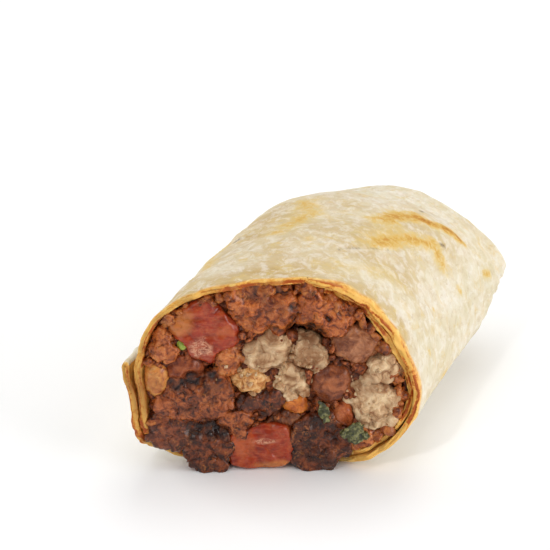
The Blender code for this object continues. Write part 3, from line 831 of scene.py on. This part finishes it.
def smooth_copy(name, nodes, lumps, voxel, smoothing, joins=()):
    """One body drawn round copies of the frame's solids, the lumps set on them and the joins between them."""
    mesh = bmesh.new()
    for node in nodes:
        mesh.from_mesh(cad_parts[node].data)
    data = bpy.data.meshes.new(name)
    mesh.to_mesh(data)
    mesh.free()
    draft = add_object(name + "_draft", data)
    if joins:
        across, up, radii = np.array(joins).T
        add_balls(draft, from_face(np.column_stack([across, up, -radii - 0.6])), radii, 31)
    if lumps:
        add_lumps(draft, *lumps)
    remesh = draft.modifiers.new("drawn", "REMESH")
    remesh.mode = "VOXEL"
    remesh.voxel_size = voxel * MM
    soften = draft.modifiers.new("soft", "SMOOTH")
    soften.factor = 0.5
    soften.iterations = smoothing
    graph = bpy.context.evaluated_depsgraph_get()
    made = bpy.data.meshes.new_from_object(draft.evaluated_get(graph))
    made.name = name
    made.shade_smooth()
    bpy.data.objects.remove(draft)
    return add_object(name, made)


def ball_arrays(level):
    """Points and faces of a round ball."""
    mesh = bmesh.new()
    bmesh.ops.create_icosphere(mesh, subdivisions=level, radius=1.0)
    mesh.verts.ensure_lookup_table()
    points = np.array([vert.co for vert in mesh.verts])
    faces = np.array([[vert.index for vert in face.verts] for face in mesh.faces])
    mesh.free()
    return points, faces


def lump_cloud(centres, radii, seed, level=1, uneven=0.35):
    """Points and faces of many small uneven lumps, each with a size and a turn of its own."""
    draws = np.random.default_rng(seed)
    ball, ball_faces = ball_arrays(level)
    count = len(centres)
    sizes = radii[:, None] * draws.uniform(1 - uneven, 1 + uneven, (count, 3))
    turns = draws.normal(size=(count, 4))
    turns /= np.linalg.norm(turns, axis=1)[:, None]
    w, x, y, z = turns.T
    rotation = np.array([
        [1 - 2 * (y * y + z * z), 2 * (x * y - w * z), 2 * (x * z + w * y)],
        [2 * (x * y + w * z), 1 - 2 * (x * x + z * z), 2 * (y * z - w * x)],
        [2 * (x * z - w * y), 2 * (y * z + w * x), 1 - 2 * (x * x + y * y)],
    ])
    shaped = ball[None] * sizes[:, None, :]
    wobble = soft_noise(ball[None] * 1.7 + np.arange(count)[:, None, None] * 3.1, seed)
    shaped = shaped * (1 + uneven * wobble)[..., None]
    points = np.einsum("ijn,nkj->nki", rotation, shaped) + centres[:, None, :]
    faces = ball_faces[None] + (np.arange(count) * len(ball))[:, None, None]
    return points.reshape(-1, 3), faces.reshape(-1, 3)


def add_lumps(draft, count, radius, sunk, seed):
    """Sets small lumps on a draft's surface, so that the body drawn round it is knobbly."""
    mesh = bmesh.new()
    mesh.from_mesh(draft.data)
    bmesh.ops.triangulate(mesh, faces=mesh.faces)
    corners = np.array([[vert.co for vert in face.verts] for face in mesh.faces]) / MM
    sides = np.cross(corners[:, 1] - corners[:, 0], corners[:, 2] - corners[:, 0])
    area = np.linalg.norm(sides, axis=1)
    draws = np.random.default_rng(seed)
    picked = draws.choice(len(corners), count, p=area / area.sum())
    share = draws.dirichlet((1, 1, 1), count)
    radii = radius[0] + (radius[1] - radius[0]) * draws.uniform(0, 1, count) ** 2
    inward = -sides[picked] / area[picked][:, None] * (radii * sunk)[:, None]
    centres = (corners[picked] * share[..., None]).sum(axis=1) + inward
    mesh.free()
    add_balls(draft, centres, radii, seed)


def add_balls(draft, centres, radii, seed):
    """Adds uneven balls to a draft's mesh."""
    points, faces = lump_cloud(centres, radii, seed)
    made = bpy.data.meshes.new("lumps")
    made.from_pydata((points * MM).tolist(), [], faces.tolist())
    mesh = bmesh.new()
    mesh.from_mesh(draft.data)
    mesh.from_mesh(made)
    mesh.to_mesh(draft.data)
    mesh.free()
    bpy.data.meshes.remove(made)


def sunken(face):
    """How far the filling lies back in the dark gaps of the cut face."""
    depth = np.zeros(len(face))
    for x, y, radius, deeper in DARK_GAPS:
        depth += deeper * (1 - ease(np.hypot(face[:, 0] - x, face[:, 1] - y), radius * 0.4, radius * 1.3))
    return depth


def press_flat(obj, proud, pit_darkening=1.0):
    """Keeps a piece behind the knife's plane, apart from a little unevenness and the dark gaps."""
    points = points_of(obj)
    face = to_face(points)
    limit = proud * (0.4 + 0.6 * soft_noise(face / 2.2, 77)) - 0.6 * sunken(face)
    over = face[:, 2] > limit
    face[over, 2] = limit[over] + (face[over, 2] - limit[over]) * 0.35
    points[over] = from_face(face[over])
    move_points(obj, points)
    paint_sauce_and_shade(obj, pit_darkening)


def paint_sauce_and_shade(obj, pit_darkening):
    """Keeps how dark each point is painted: sauce and painted shade in pits, painted shade behind the cut and
    in its gaps.
    """
    face = to_face(points_of(obj))
    low = 0.12 + 0.45 * hollows(obj, 5, 0.22) + 0.5 * hollows(obj, 24, 0.6)
    # Painted shade: hollow points and those further behind the cut get more of the dark sauce colour.
    set_value(obj, "deep", np.clip(pit_darkening * low + 0.10 * (-face[:, 2] - 1.8) + 0.12 * sunken(face), 0, 1))


def hollows(obj, rounds, scale):
    """How far each point lies below the mean of those round it, in units of scale. More rounds look wider."""
    points = points_of(obj)
    normals = normals_of(obj)
    ends = np.zeros(len(obj.data.edges) * 2, np.int32)
    obj.data.edges.foreach_get("vertices", ends)
    first, second = ends.reshape(-1, 2).T
    count = np.bincount(first, minlength=len(points)) + np.bincount(second, minlength=len(points))
    mean = points.copy()
    for _ in range(rounds):
        for axis in range(3):
            column = mean[:, axis].copy()
            total = np.bincount(first, column[second], len(points))
            total += np.bincount(second, column[first], len(points))
            mean[:, axis] = total / np.maximum(count, 1)
    return ((mean - points) * normals).sum(axis=1) / scale


def roughen(obj, seed, swollen, broad, fine, grain=None, fibre=None):
    """Moves a piece's points out. Each kind of relief is a depth and a width, with a fibre's way between."""
    points = points_of(obj)
    height = np.full(len(points), swollen)
    height += broad[0] * layered_noise(points / broad[1], seed, 2)
    if grain:
        warped = points / grain[1] + 0.5 * layered_noise(points / grain[1] / 1.7, seed + 3, 2)[:, None]
        height += grain[0] * (0.62 - grain_distance(warped, seed + 5)) * 1.5
    height += fine[0] * layered_noise(points / fine[1], seed + 9, 3)
    if fibre:
        depth, direction, width = fibre
        way = np.array(direction) / np.linalg.norm(direction)
        flat = points - (points @ way)[:, None] * way * 0.84
        height += depth * layered_noise(flat / width, seed + 13, 2)
    move_points(obj, points + normals_of(obj) * height[:, None])


MEAT_TONES = {  # light, middle and dark
    "brown": ((224, 130, 64), (168, 82, 32), (90, 34, 10)),
    "orange": ((228, 146, 80), (184, 98, 46), (116, 50, 20)),
    "char": ((202, 112, 58), (132, 62, 27), (58, 22, 8)),
    "dark": ((150, 74, 34), (86, 36, 14), (40, 14, 6)),
    "purple": ((158, 84, 48), (102, 46, 24), (50, 19, 9)),
}
MEATS = (  # the tone of meat_1 to meat_11, and how many lumps each has
    ("brown", 150), ("brown", 140), ("orange", 70), ("char", 220), ("dark", 70), ("orange", 50),
    ("purple", 90), ("dark", 110), ("dark", 130), ("orange", 80), ("char", 90),
)
BEANS = (  # light, middle and dark of bean_1 to bean_6
    ((188, 126, 88), (150, 90, 56), (112, 58, 32)),
    ((170, 98, 58), (132, 69, 38), (96, 43, 22)),
    ((166, 90, 52), (130, 60, 32), (92, 38, 19)),
    ((226, 146, 62), (204, 112, 40), (160, 76, 28)),
    ((150, 92, 56), (112, 60, 34), (70, 34, 20)),
    ((206, 120, 70), (176, 88, 46), (124, 54, 26)),
)
MASHES = {  # piece: the nodes it is drawn round, and how many knobs it has
    "mash_left": (("mash_1", "mash_2", "mash_3"), 130),
    "mash_crumbs": (("mash_4",), 34),
    "mash_right": (("mash_5", "mash_6"), 130),
}
MASH_JOINS = {  # where crumbly mash lies between those nodes: (across, up, radius)
    "mash_left": ((4.2, 33.6, 3.0), (3.0, 29.4, 2.8), (6.4, 27.6, 2.4), (1.4, 30.8, 2.0), (4.6, 31.4, 2.4)),
    "mash_right": ((26.2, 26.0, 2.6), (24.0, 25.2, 2.0), (28.4, 26.4, 2.2)),
}


def make_meats():
    materials = {}
    for name, tones in MEAT_TONES.items():
        materials[name] = wet_material("meat_" + name, *tones, rough=(0.12, 0.45), coat=0.32)
    pieces = []
    for number, (tone, lumps) in enumerate(MEATS):
        node = f"meat_{number + 1}"
        obj = smooth_copy(node + "_chunk", [node], (lumps, (0.5, 2.6), 0.5, 100 + number), 0.3, 1)
        way = (math.cos(number * 1.9), 0.5, math.sin(number * 1.9))
        roughen(obj, 200 + 7 * number, 0.8, (0.95, 4.4), (0.26, 0.8), (0.14, 1.3), (0.3, way, 0.9))
        press_flat(obj, 0.9)
        dress(obj, materials[tone], "meat", node)
        pieces.append(obj)
    return pieces


def make_beans():
    pieces = []
    for number, tones in enumerate(BEANS):
        node = f"bean_{number + 1}"
        obj = smooth_copy(node + "_seed", [node], (20, (0.5, 1.6), 0.7, 130 + number), 0.3, 4)
        roughen(obj, 300 + 7 * number, 0.8, (0.6, 3.4), (0.12, 0.8))
        press_flat(obj, 0.8, 0.8)
        material = wet_material(node + "_skin", *tones, tone_size=3.0, fine_depth=0.04, rough=(0.2, 0.45),
                                glow=0.12, coat=0.2, specks=0.3, char=0.25)
        dress(obj, material, "bean", node)
        pieces.append(obj)
    return pieces


def make_mashes():
    plain = wet_material("bean_mash", (240, 210, 168), (204, 164, 122), (146, 100, 64), tone_size=3.4,
                         fine_depth=0.07, rough=(0.45, 0.7), glow=0.1, coat=0.0, sauce=(138, 92, 58),
                         speck=(250, 234, 200), specks=0.5, char=0.0)
    warm = wet_material("bean_mash_sauced", (240, 196, 136), (214, 150, 84), (160, 88, 40),
                        tone_size=1.8, rough=(0.35, 0.6), glow=0.1, coat=0.1, sauce=(96, 42, 18),
                        speck=(246, 222, 172), specks=0.7, char=0.1)
    pieces = []
    for number, (name, (nodes, lumps)) in enumerate(MASHES.items()):
        obj = smooth_copy(name, nodes, (lumps, (0.5, 1.9), 0.3, 150 + number), 0.28, 1, MASH_JOINS.get(name))
        roughen(obj, 400 + 7 * number, 0.75, (0.8, 3.4), (0.26, 1.0), (0.22, 1.5))
        press_flat(obj, 1.2, 0.9)
        dress(obj, warm if name == "mash_crumbs" else plain, "mash", *nodes)
        pieces.append(obj)
    return pieces


TOMATO_PATCHES = {  # the pale patch of each, a painted highlight, and its yellower flesh: (across, up, width, height)
    "tomato_1": {"pale": (-18.2, 35.8, 3.4, 3.4), "yellow": (-24.0, 43.0, 4.5, 4.5)},
    "tomato_2": {"pale": (-1.5, 8.6, 4.0, 0.8), "yellow": (0.5, 1.6, 7.0, 1.6)},
}


def make_tomatoes():
    pieces = []
    for number, (node, patches) in enumerate(TOMATO_PATCHES.items()):
        obj = smooth_copy(node + "_dice", [node], None, 0.32, 5)
        roughen(obj, 500 + 7 * number, 0.45, (0.5, 5.0), (0.05, 0.9), fibre=(0.14, (0.7, 0.2, -0.7), 1.3))
        press_flat(obj, 1.4)
        points = points_of(obj)
        face = to_face(points)
        for name, (x, y, width, height) in patches.items():
            away = np.hypot((face[:, 0] - x) / width, (face[:, 1] - y) / height)
            away += 0.35 * layered_noise(points / 2.5, 520, 2)
            set_value(obj, name, 1 - ease(away, 0.45, 1.15))
        dress(obj, tomato_material(node), "tomato", node)
        pieces.append(obj)
    return pieces


def tomato_material(name):
    n = Nodes(name + "_flesh")
    patches = n.noise(5.0, 4, 0.55, warp=0.5)
    colour = n.ramp(patches, (0.36, 124, 32, 12), (0.5, 160, 50, 20), (0.66, 182, 84, 40))
    colour = n.mix(n.times(n.value("yellow"), 0.85), colour, (196, 120, 58))
    streaks = n.span(n.noise(1.2, 4, 0.6, (0.35, 1, 1.6), warp=0.3), 0.46, 0.62)
    colour = n.mix(n.times(streaks, 0.25), colour, (206, 112, 70))
    dull = n.span(n.noise(2.4, 5, 0.7, warp=0.8), 0.5, 0.66)
    colour = n.mix(n.times(dull, 0.5), colour, (122, 58, 30))
    # The pale patch is a painted highlight: pale pink streaks that stand in for the gloss of a facet.
    pale = n.span(n.noise(1.1, 4, 0.7, (0.5, 1, 1.3), warp=1.6), 0.44, 0.6, 0.1, 1.0)
    colour = n.mix(n.times(n.value("pale"), pale), colour, (218, 160, 126))
    # Painted shade, with some sauce: pits and places behind the cut are darkened from the deep value.
    colour = n.mix(n.times(n.value("deep"), 0.85), colour, (84, 22, 12))
    shine = n.span(n.noise(2.0, 3, 0.5), 0.35, 0.7, 0.12, 0.3)
    relief = n.bump(n.noise(1.1, 3, 0.5, (0.4, 1, 1.4)), 0.12)
    return n.finish(colour, shine, relief, glow=0.15, glow_reach=1.6, coat=0.28, specular=0.25)


def make_onion():
    obj = smooth_copy("onion_slice", ["onion_1"], None, 0.34, 9)
    roughen(obj, 610, 0.7, (0.4, 4.0), (0.05, 0.8), fibre=(0.16, (0, 0.2, 1), 1.5))
    press_flat(obj, 0.8)
    material = wet_material("sauced_onion", (228, 176, 100), (204, 130, 62), (150, 76, 34),
                            tone_size=3.4, fine_depth=0.03, rough=(0.2, 0.45), glow=0.25, coat=0.35,
                            sauce=(100, 40, 18))
    dress(obj, material, "onion", "onion_1")
    return [obj]


def make_pepper():
    obj = smooth_copy("pepper_bit", ["pepper_1"], None, 0.25, 5)
    roughen(obj, 620, 0.25, (0.2, 2.0), (0.06, 0.6))
    paint_sauce_and_shade(obj, 1.0)
    material = wet_material("green_pepper", (196, 210, 110), (158, 178, 68), (104, 124, 40),
                            tone_size=1.6, fine_depth=0.03, rough=(0.2, 0.4), glow=0.3, coat=0.35)
    dress(obj, material, "herb", "pepper_1")
    return [obj]


def leaf_material():
    n = Nodes("cilantro_leaf")
    colour = n.ramp(n.noise(1.1, 4, 0.6), (0.34, 38, 40, 12), (0.5, 70, 72, 26), (0.68, 160, 156, 100))
    return n.finish(colour, 0.38, n.bump(n.noise(0.5, 3, 0.5), 0.08), coat=0.2)


def make_leaves():
    """Ruffled leaf bits over the two leaf solids."""
    material = leaf_material()
    for number, (node, count, size) in enumerate((("herb_1", 26, (0.5, 1.1)), ("herb_2", 6, (0.3, 0.6)))):
        obj = smooth_copy(node + "_leaf", [node], (count, size, 0.1, 170 + number), 0.22, 2)
        roughen(obj, 640 + number, 0.0, (0.25, 1.5), (0.05, 0.4), (0.25, 0.9))
        dress(obj, material, "herb", node)


DARK_GAPS = (  # (across, up, radius, how much deeper)
    (9.9, 38.6, 4.2, 6.0),
    (5.0, 39.4, 3.0, 5.0),
    (-25.0, 25.0, 2.6, 4.0),
    (-20.5, 26.4, 3.0, 5.0),
    (-16.0, 28.2, 2.6, 4.0),
    (-21.0, 12.8, 2.6, 4.0),
    (-16.8, 12.2, 3.0, 4.5),
    (-13.2, 11.2, 2.2, 4.0),
    (-3.5, 15.6, 2.4, 3.0),
    (0.2, 39.6, 2.6, 4.0),
    (-6.0, 51.2, 3.6, 4.0),
    (2.0, 51.8, 3.6, 4.0),
    (22.8, 42.2, 2.8, 4.0),
    (17.5, 9.5, 2.6, 3.0),
    (5.4, 47.0, 1.8, 3.0),
    (5.8, 43.4, 1.8, 3.5),
    (11.5, 13.6, 2.2, 3.0),
)
CORE_RINGS = 62
CORE_COLUMNS = 300
CORE_ROWS = 9


def core_depth(across, up):
    """How far the bound filling lies behind the cut: near it between the pieces, deep in the dark gaps."""
    places = in_plane(across, up)
    depth = 1.5 + 0.8 * soft_noise(places / 6.5, 81) + 0.6 * layered_noise(places / 2.0, 83, 3)
    depth += 1.6 * (grain_distance(places / 1.7, 87) - 0.4)
    return depth + sunken(places)


def inner_side(angles):
    """How far the sheet's inner side lies from the roll's outer line."""
    doubled = angles >= OUTER_EDGE
    return np.where(doubled, 2 * SHEET + SLIP - settle(past_edge(angles)), SHEET)


def make_core():
    """The bound mass of sauce, mince and crumbs behind and between the pieces, back to the tucked end."""
    shell = Shell()
    angles = even_angles(INNER_EDGE, INNER_EDGE + FULL_TURN, CORE_COLUMNS + 1)[:-1]
    inward = inner_side(angles) + 0.2
    rim = sheet_points(angles, 0.0, inward)
    centre = np.array([0.0, 0.0, CAVITY_MIDDLE])
    rows = []
    for fraction in np.linspace(0.02, 1.0, CORE_RINGS):
        points = centre + (rim - centre) * fraction
        points[:, 1] = cut_y(points[:, 0], points[:, 2])
        face = to_face(points + SHIFT)
        depth = core_depth(face[:, 0], face[:, 1])
        points[:, 1] -= depth / CUT_OUT[1]
        # Painted shade: the further the core lies behind the cut, the darker it is painted.
        rows.append(shell.add(points, deep=np.clip(0.1 + 0.17 * (depth - 1.5), 0, 1)))
    for share in np.linspace(0.1, CAVITY_END, CORE_ROWS):
        rows.append(shell.add(plain_roll(angles, share, inward + 0.2), deep=0.5))
    rows.append(shell.add(cavity_end(plain_roll(angles, CAVITY_END, inward + 0.4), 1.2), deep=0.5))
    shell.rows(np.array(rows))
    shell.faces.append(tuple(rows[0]))
    shell.faces.append(tuple(rows[-1]))
    obj = finish_mesh("filling_core", shell.all_points() + SHIFT, shell.faces, deep=shell.value("deep"))
    # The core's dark tones are partly the sauce's own colour and partly painted shade between the pieces.
    material = wet_material("dark_sauce_and_shade", (160, 84, 42), (108, 50, 22), (54, 21, 9), tone_size=1.6,
                            rough=(0.25, 0.5), coat=0.12, sauce=(24, 9, 5))
    dress(obj, material, "filling", "filling")
    return obj


def dress(obj, material, slot, *nodes):
    """Gives a piece its material and its place in the part."""
    obj.data.materials.clear()
    obj.data.materials.append(material)
    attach(obj, "root")
    if nodes:
        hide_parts(*nodes)


# Crumbs

LOOK_FROM = 12.0  # how far before the cut a look at the food starts
LOOK_REACH = 40.0  # how far it goes
RIM_BITS = 300
MINCE_BITS = 1300
PALE_BITS = 34
MASH_MIDDLES = ((4, 31), (26.4, 25))  # (across, up), with no mince within MASH_CLEAR
MASH_CLEAR = 5.5
PALE_SPOTS = ((3, 33), (8, 31), (-5.5, 25), (4, 24), (27, 26), (25, 19), (-11, 27), (20, 24))


def front_tree(objects):
    """What a look straight at the cut face meets."""
    points = []
    faces = []
    count = 0
    for obj in objects:
        points.extend(points_of(obj).tolist())
        faces.extend([[count + i for i in polygon.vertices] for polygon in obj.data.polygons])
        count = len(points)
    return BVHTree.FromPolygons(points, faces)


def land(tree, places, last_face):
    """Where places come to lie on the food, on its faces up to last_face, and which way those face."""
    spots = []
    normals = []
    for place in places:
        start = from_face((*place, LOOK_FROM))
        spot, normal, face, _ = tree.ray_cast(Vector(start), Vector(-CUT_OUT), LOOK_REACH)
        if spot is not None and face < last_face:
            spots.append(spot)
            normals.append(normal)
    return np.array(spots), np.array(normals)


def dress_crumbs(name, centres, radii, seed, material, slot, shade_start, darkening):
    """One piece of many small lumps, with painted shade that darkens what lies further behind the cut than a
    given depth.
    """
    points, faces = lump_cloud(centres, radii, seed, 2, 0.5)
    points += (0.22 * layered_noise(points / 0.8, seed, 3))[:, None]
    behind = -to_face(points)[:, 2]
    # Painted shade grows with the depth behind the cut.
    obj = finish_mesh(name, points, faces, deep=np.clip(0.05 + darkening * (behind - shade_start), 0, 1))
    dress(obj, material, slot)


def make_crumbs(name, tree, places, radius, seed, material, slot, last_face=math.inf):
    """Loose bits that lie on the food at places of the cut face."""
    spots, normals = land(tree, places, last_face)
    draws = np.random.default_rng(seed)
    radii = draws.uniform(*radius, len(spots)) * draws.uniform(0.6, 1.0, len(spots))
    centres = spots + normals * (radii * 0.2)[:, None]
    dress_crumbs(name, centres, radii, seed, material, slot, 0.5, 0.16)


def make_rim_bits(seed):
    """Sauced bits that stick to the inner side of the sheet at the cut."""
    draws = np.random.default_rng(seed)
    angles = INNER_EDGE + FULL_TURN * draws.uniform(0, 1, RIM_BITS)
    doubled = angles >= OUTER_EDGE
    inward = np.where(doubled, 2 * SHEET + SLIP, SHEET) + draws.uniform(0.9, 1.9, RIM_BITS)
    centres = sheet_points(angles, draws.uniform(0.004, 0.03, RIM_BITS), inward) + SHIFT
    radii = 0.5 + 1.3 * draws.uniform(0, 1, RIM_BITS) ** 1.6
    material = wet_material("rim_sauce", (212, 130, 66), (158, 80, 36), (88, 36, 14), tone_size=2.2,
                            rough=(0.16, 0.45), coat=0.2, speck=(236, 176, 100))
    dress_crumbs("rim_bits", centres, radii, seed, material, "filling", 1.5, 0.1)


def places_round(spots, count, spread, seed):
    """Places scattered round a few spots of the cut face."""
    draws = np.random.default_rng(seed)
    picked = np.array(spots)[draws.integers(0, len(spots), count)]
    return picked + draws.normal(size=(count, 2)) * spread


def places_anywhere(count, seed):
    """Places spread over the cut face, well inside the sheet."""
    draws = np.random.default_rng(seed)
    turn = draws.uniform(0, FULL_TURN, count)
    reach = np.sqrt(draws.uniform(0, 1, count))
    return np.stack([31.5 * reach * np.cos(turn), 25.0 + 22.5 * reach * np.sin(turn)], axis=-1)


# The set

FLOOR_HALF = 3000.0
SKY = 0.3  # how bright the even light from all round is


def make_floor():
    corners = np.array([(-1, -1, 0), (1, -1, 0), (1, 1, 0), (-1, 1, 0)]) * FLOOR_HALF
    data = bpy.data.meshes.new("pale_floor")
    data.from_pydata((corners * MM).tolist(), [], [(0, 1, 2, 3)])
    floor = add_object("pale_floor", data)
    n = Nodes("pale_floor")
    colour = n.ramp(n.noise(400, 2), (0.3, 251, 251, 251), (0.7, 253, 253, 253))
    data.materials.append(n.finish(colour, 0.9, n.bump(n.noise(60, 2), 0.02), specular=0.1))


def area_light(name, place, size, power):
    """A soft white box at a place in millimetres that looks at the food."""
    data = bpy.data.lights.new(name, "AREA")
    data.shape = "SQUARE"
    data.size = size * MM
    data.energy = power
    light = add_object(name, data)
    light.location = Vector(place) * MM
    aim = Vector((0, 0, 25)) * MM
    light.rotation_euler = (light.location - aim).to_track_quat("Z", "Y").to_euler()


def make_lights():
    area_light("top_box", (0, 0, 1200), 900, 2.5)
    area_light("back_box", (-100, 700, 1000), 700, 3.5)
    area_light("back_right_box", (700, 500, 700), 600, 2.5)
    area_light("right_box", (1000, -100, 350), 600, 5.0)
    area_light("front_box", (-450, -900, 550), 700, 1.2)
    area_light("left_box", (-1000, 0, 500), 600, 4.3)
    area_light("small_box", (-150, -700, 850), 80, 1.3)
    world = bpy.data.worlds.new("studio")
    world.use_nodes = True
    sky = world.node_tree.nodes["Background"]
    sky.inputs["Color"].default_value = (1, 1, 1, 1)
    sky.inputs["Strength"].default_value = SKY
    bpy.context.scene.world = world


def make_camera():
    """Stands where the photograph was taken from, and looks at what its middle shows."""
    right = Vector((math.cos(CAMERA_TURN), math.sin(CAMERA_TURN), 0))
    before = Vector((math.sin(CAMERA_TURN), -math.cos(CAMERA_TURN), 0))
    back = before * math.cos(CAMERA_RISE) + Vector((0, 0, math.sin(CAMERA_RISE)))
    up = back.cross(right)
    look = (up * AIM_BELOW_MIDDLE + right * AIM_LEFT_OF_MIDDLE) * PIXEL - back * CAMERA_DISTANCE
    data = bpy.data.cameras.new("camera")
    data.sensor_width = SENSOR
    data.lens = SENSOR * look.length / (IMAGE * PIXEL)
    data.clip_start = 0.05
    data.clip_end = 20.0
    camera = add_object("camera", data)
    camera.location = (Vector(CUT_CENTRE) + back * CAMERA_DISTANCE) * MM
    look.normalize()
    above = (up - look * up.dot(look)).normalized()
    camera.rotation_euler = Matrix((look.cross(above), above, -look)).transposed().to_euler()
    bpy.context.scene.camera = camera


def main():
    bpy.context.scene.view_settings.view_transform = "Standard"
    make_camera()
    tortilla = make_tortilla()
    dress(tortilla, tortilla_material(), "tortilla", "tortilla")
    core = make_core()
    meats = make_meats()
    mashes = make_mashes()
    others = make_beans() + make_tomatoes() + make_onion() + make_pepper()
    make_leaves()
    tree = front_tree([core, *meats, *mashes, *others])
    mince = wet_material("mince", (190, 106, 56), (132, 62, 28), (66, 26, 11), tone_size=1.2)
    places = places_anywhere(MINCE_BITS, 901)
    from_mash = np.min([np.hypot(*(places - spot).T) for spot in MASH_MIDDLES], axis=0)
    places = places[from_mash > MASH_CLEAR]
    make_crumbs("mince_crumbs", tree, places, (0.5, 1.9), 902, mince, "meat", len(core.data.polygons))
    make_rim_bits(906)
    pale = wet_material("mash_crumb", (226, 198, 158), (198, 160, 118), (160, 116, 78), tone_size=1.6,
                        rough=(0.4, 0.7), coat=0.1, glow=0.2, sauce=(130, 70, 40))
    places = places_round(PALE_SPOTS, PALE_BITS, 3.0, 903)
    make_crumbs("pale_crumbs", tree, places, (0.3, 1.0), 904, pale, "mash")
    make_floor()
    make_lights()


main()
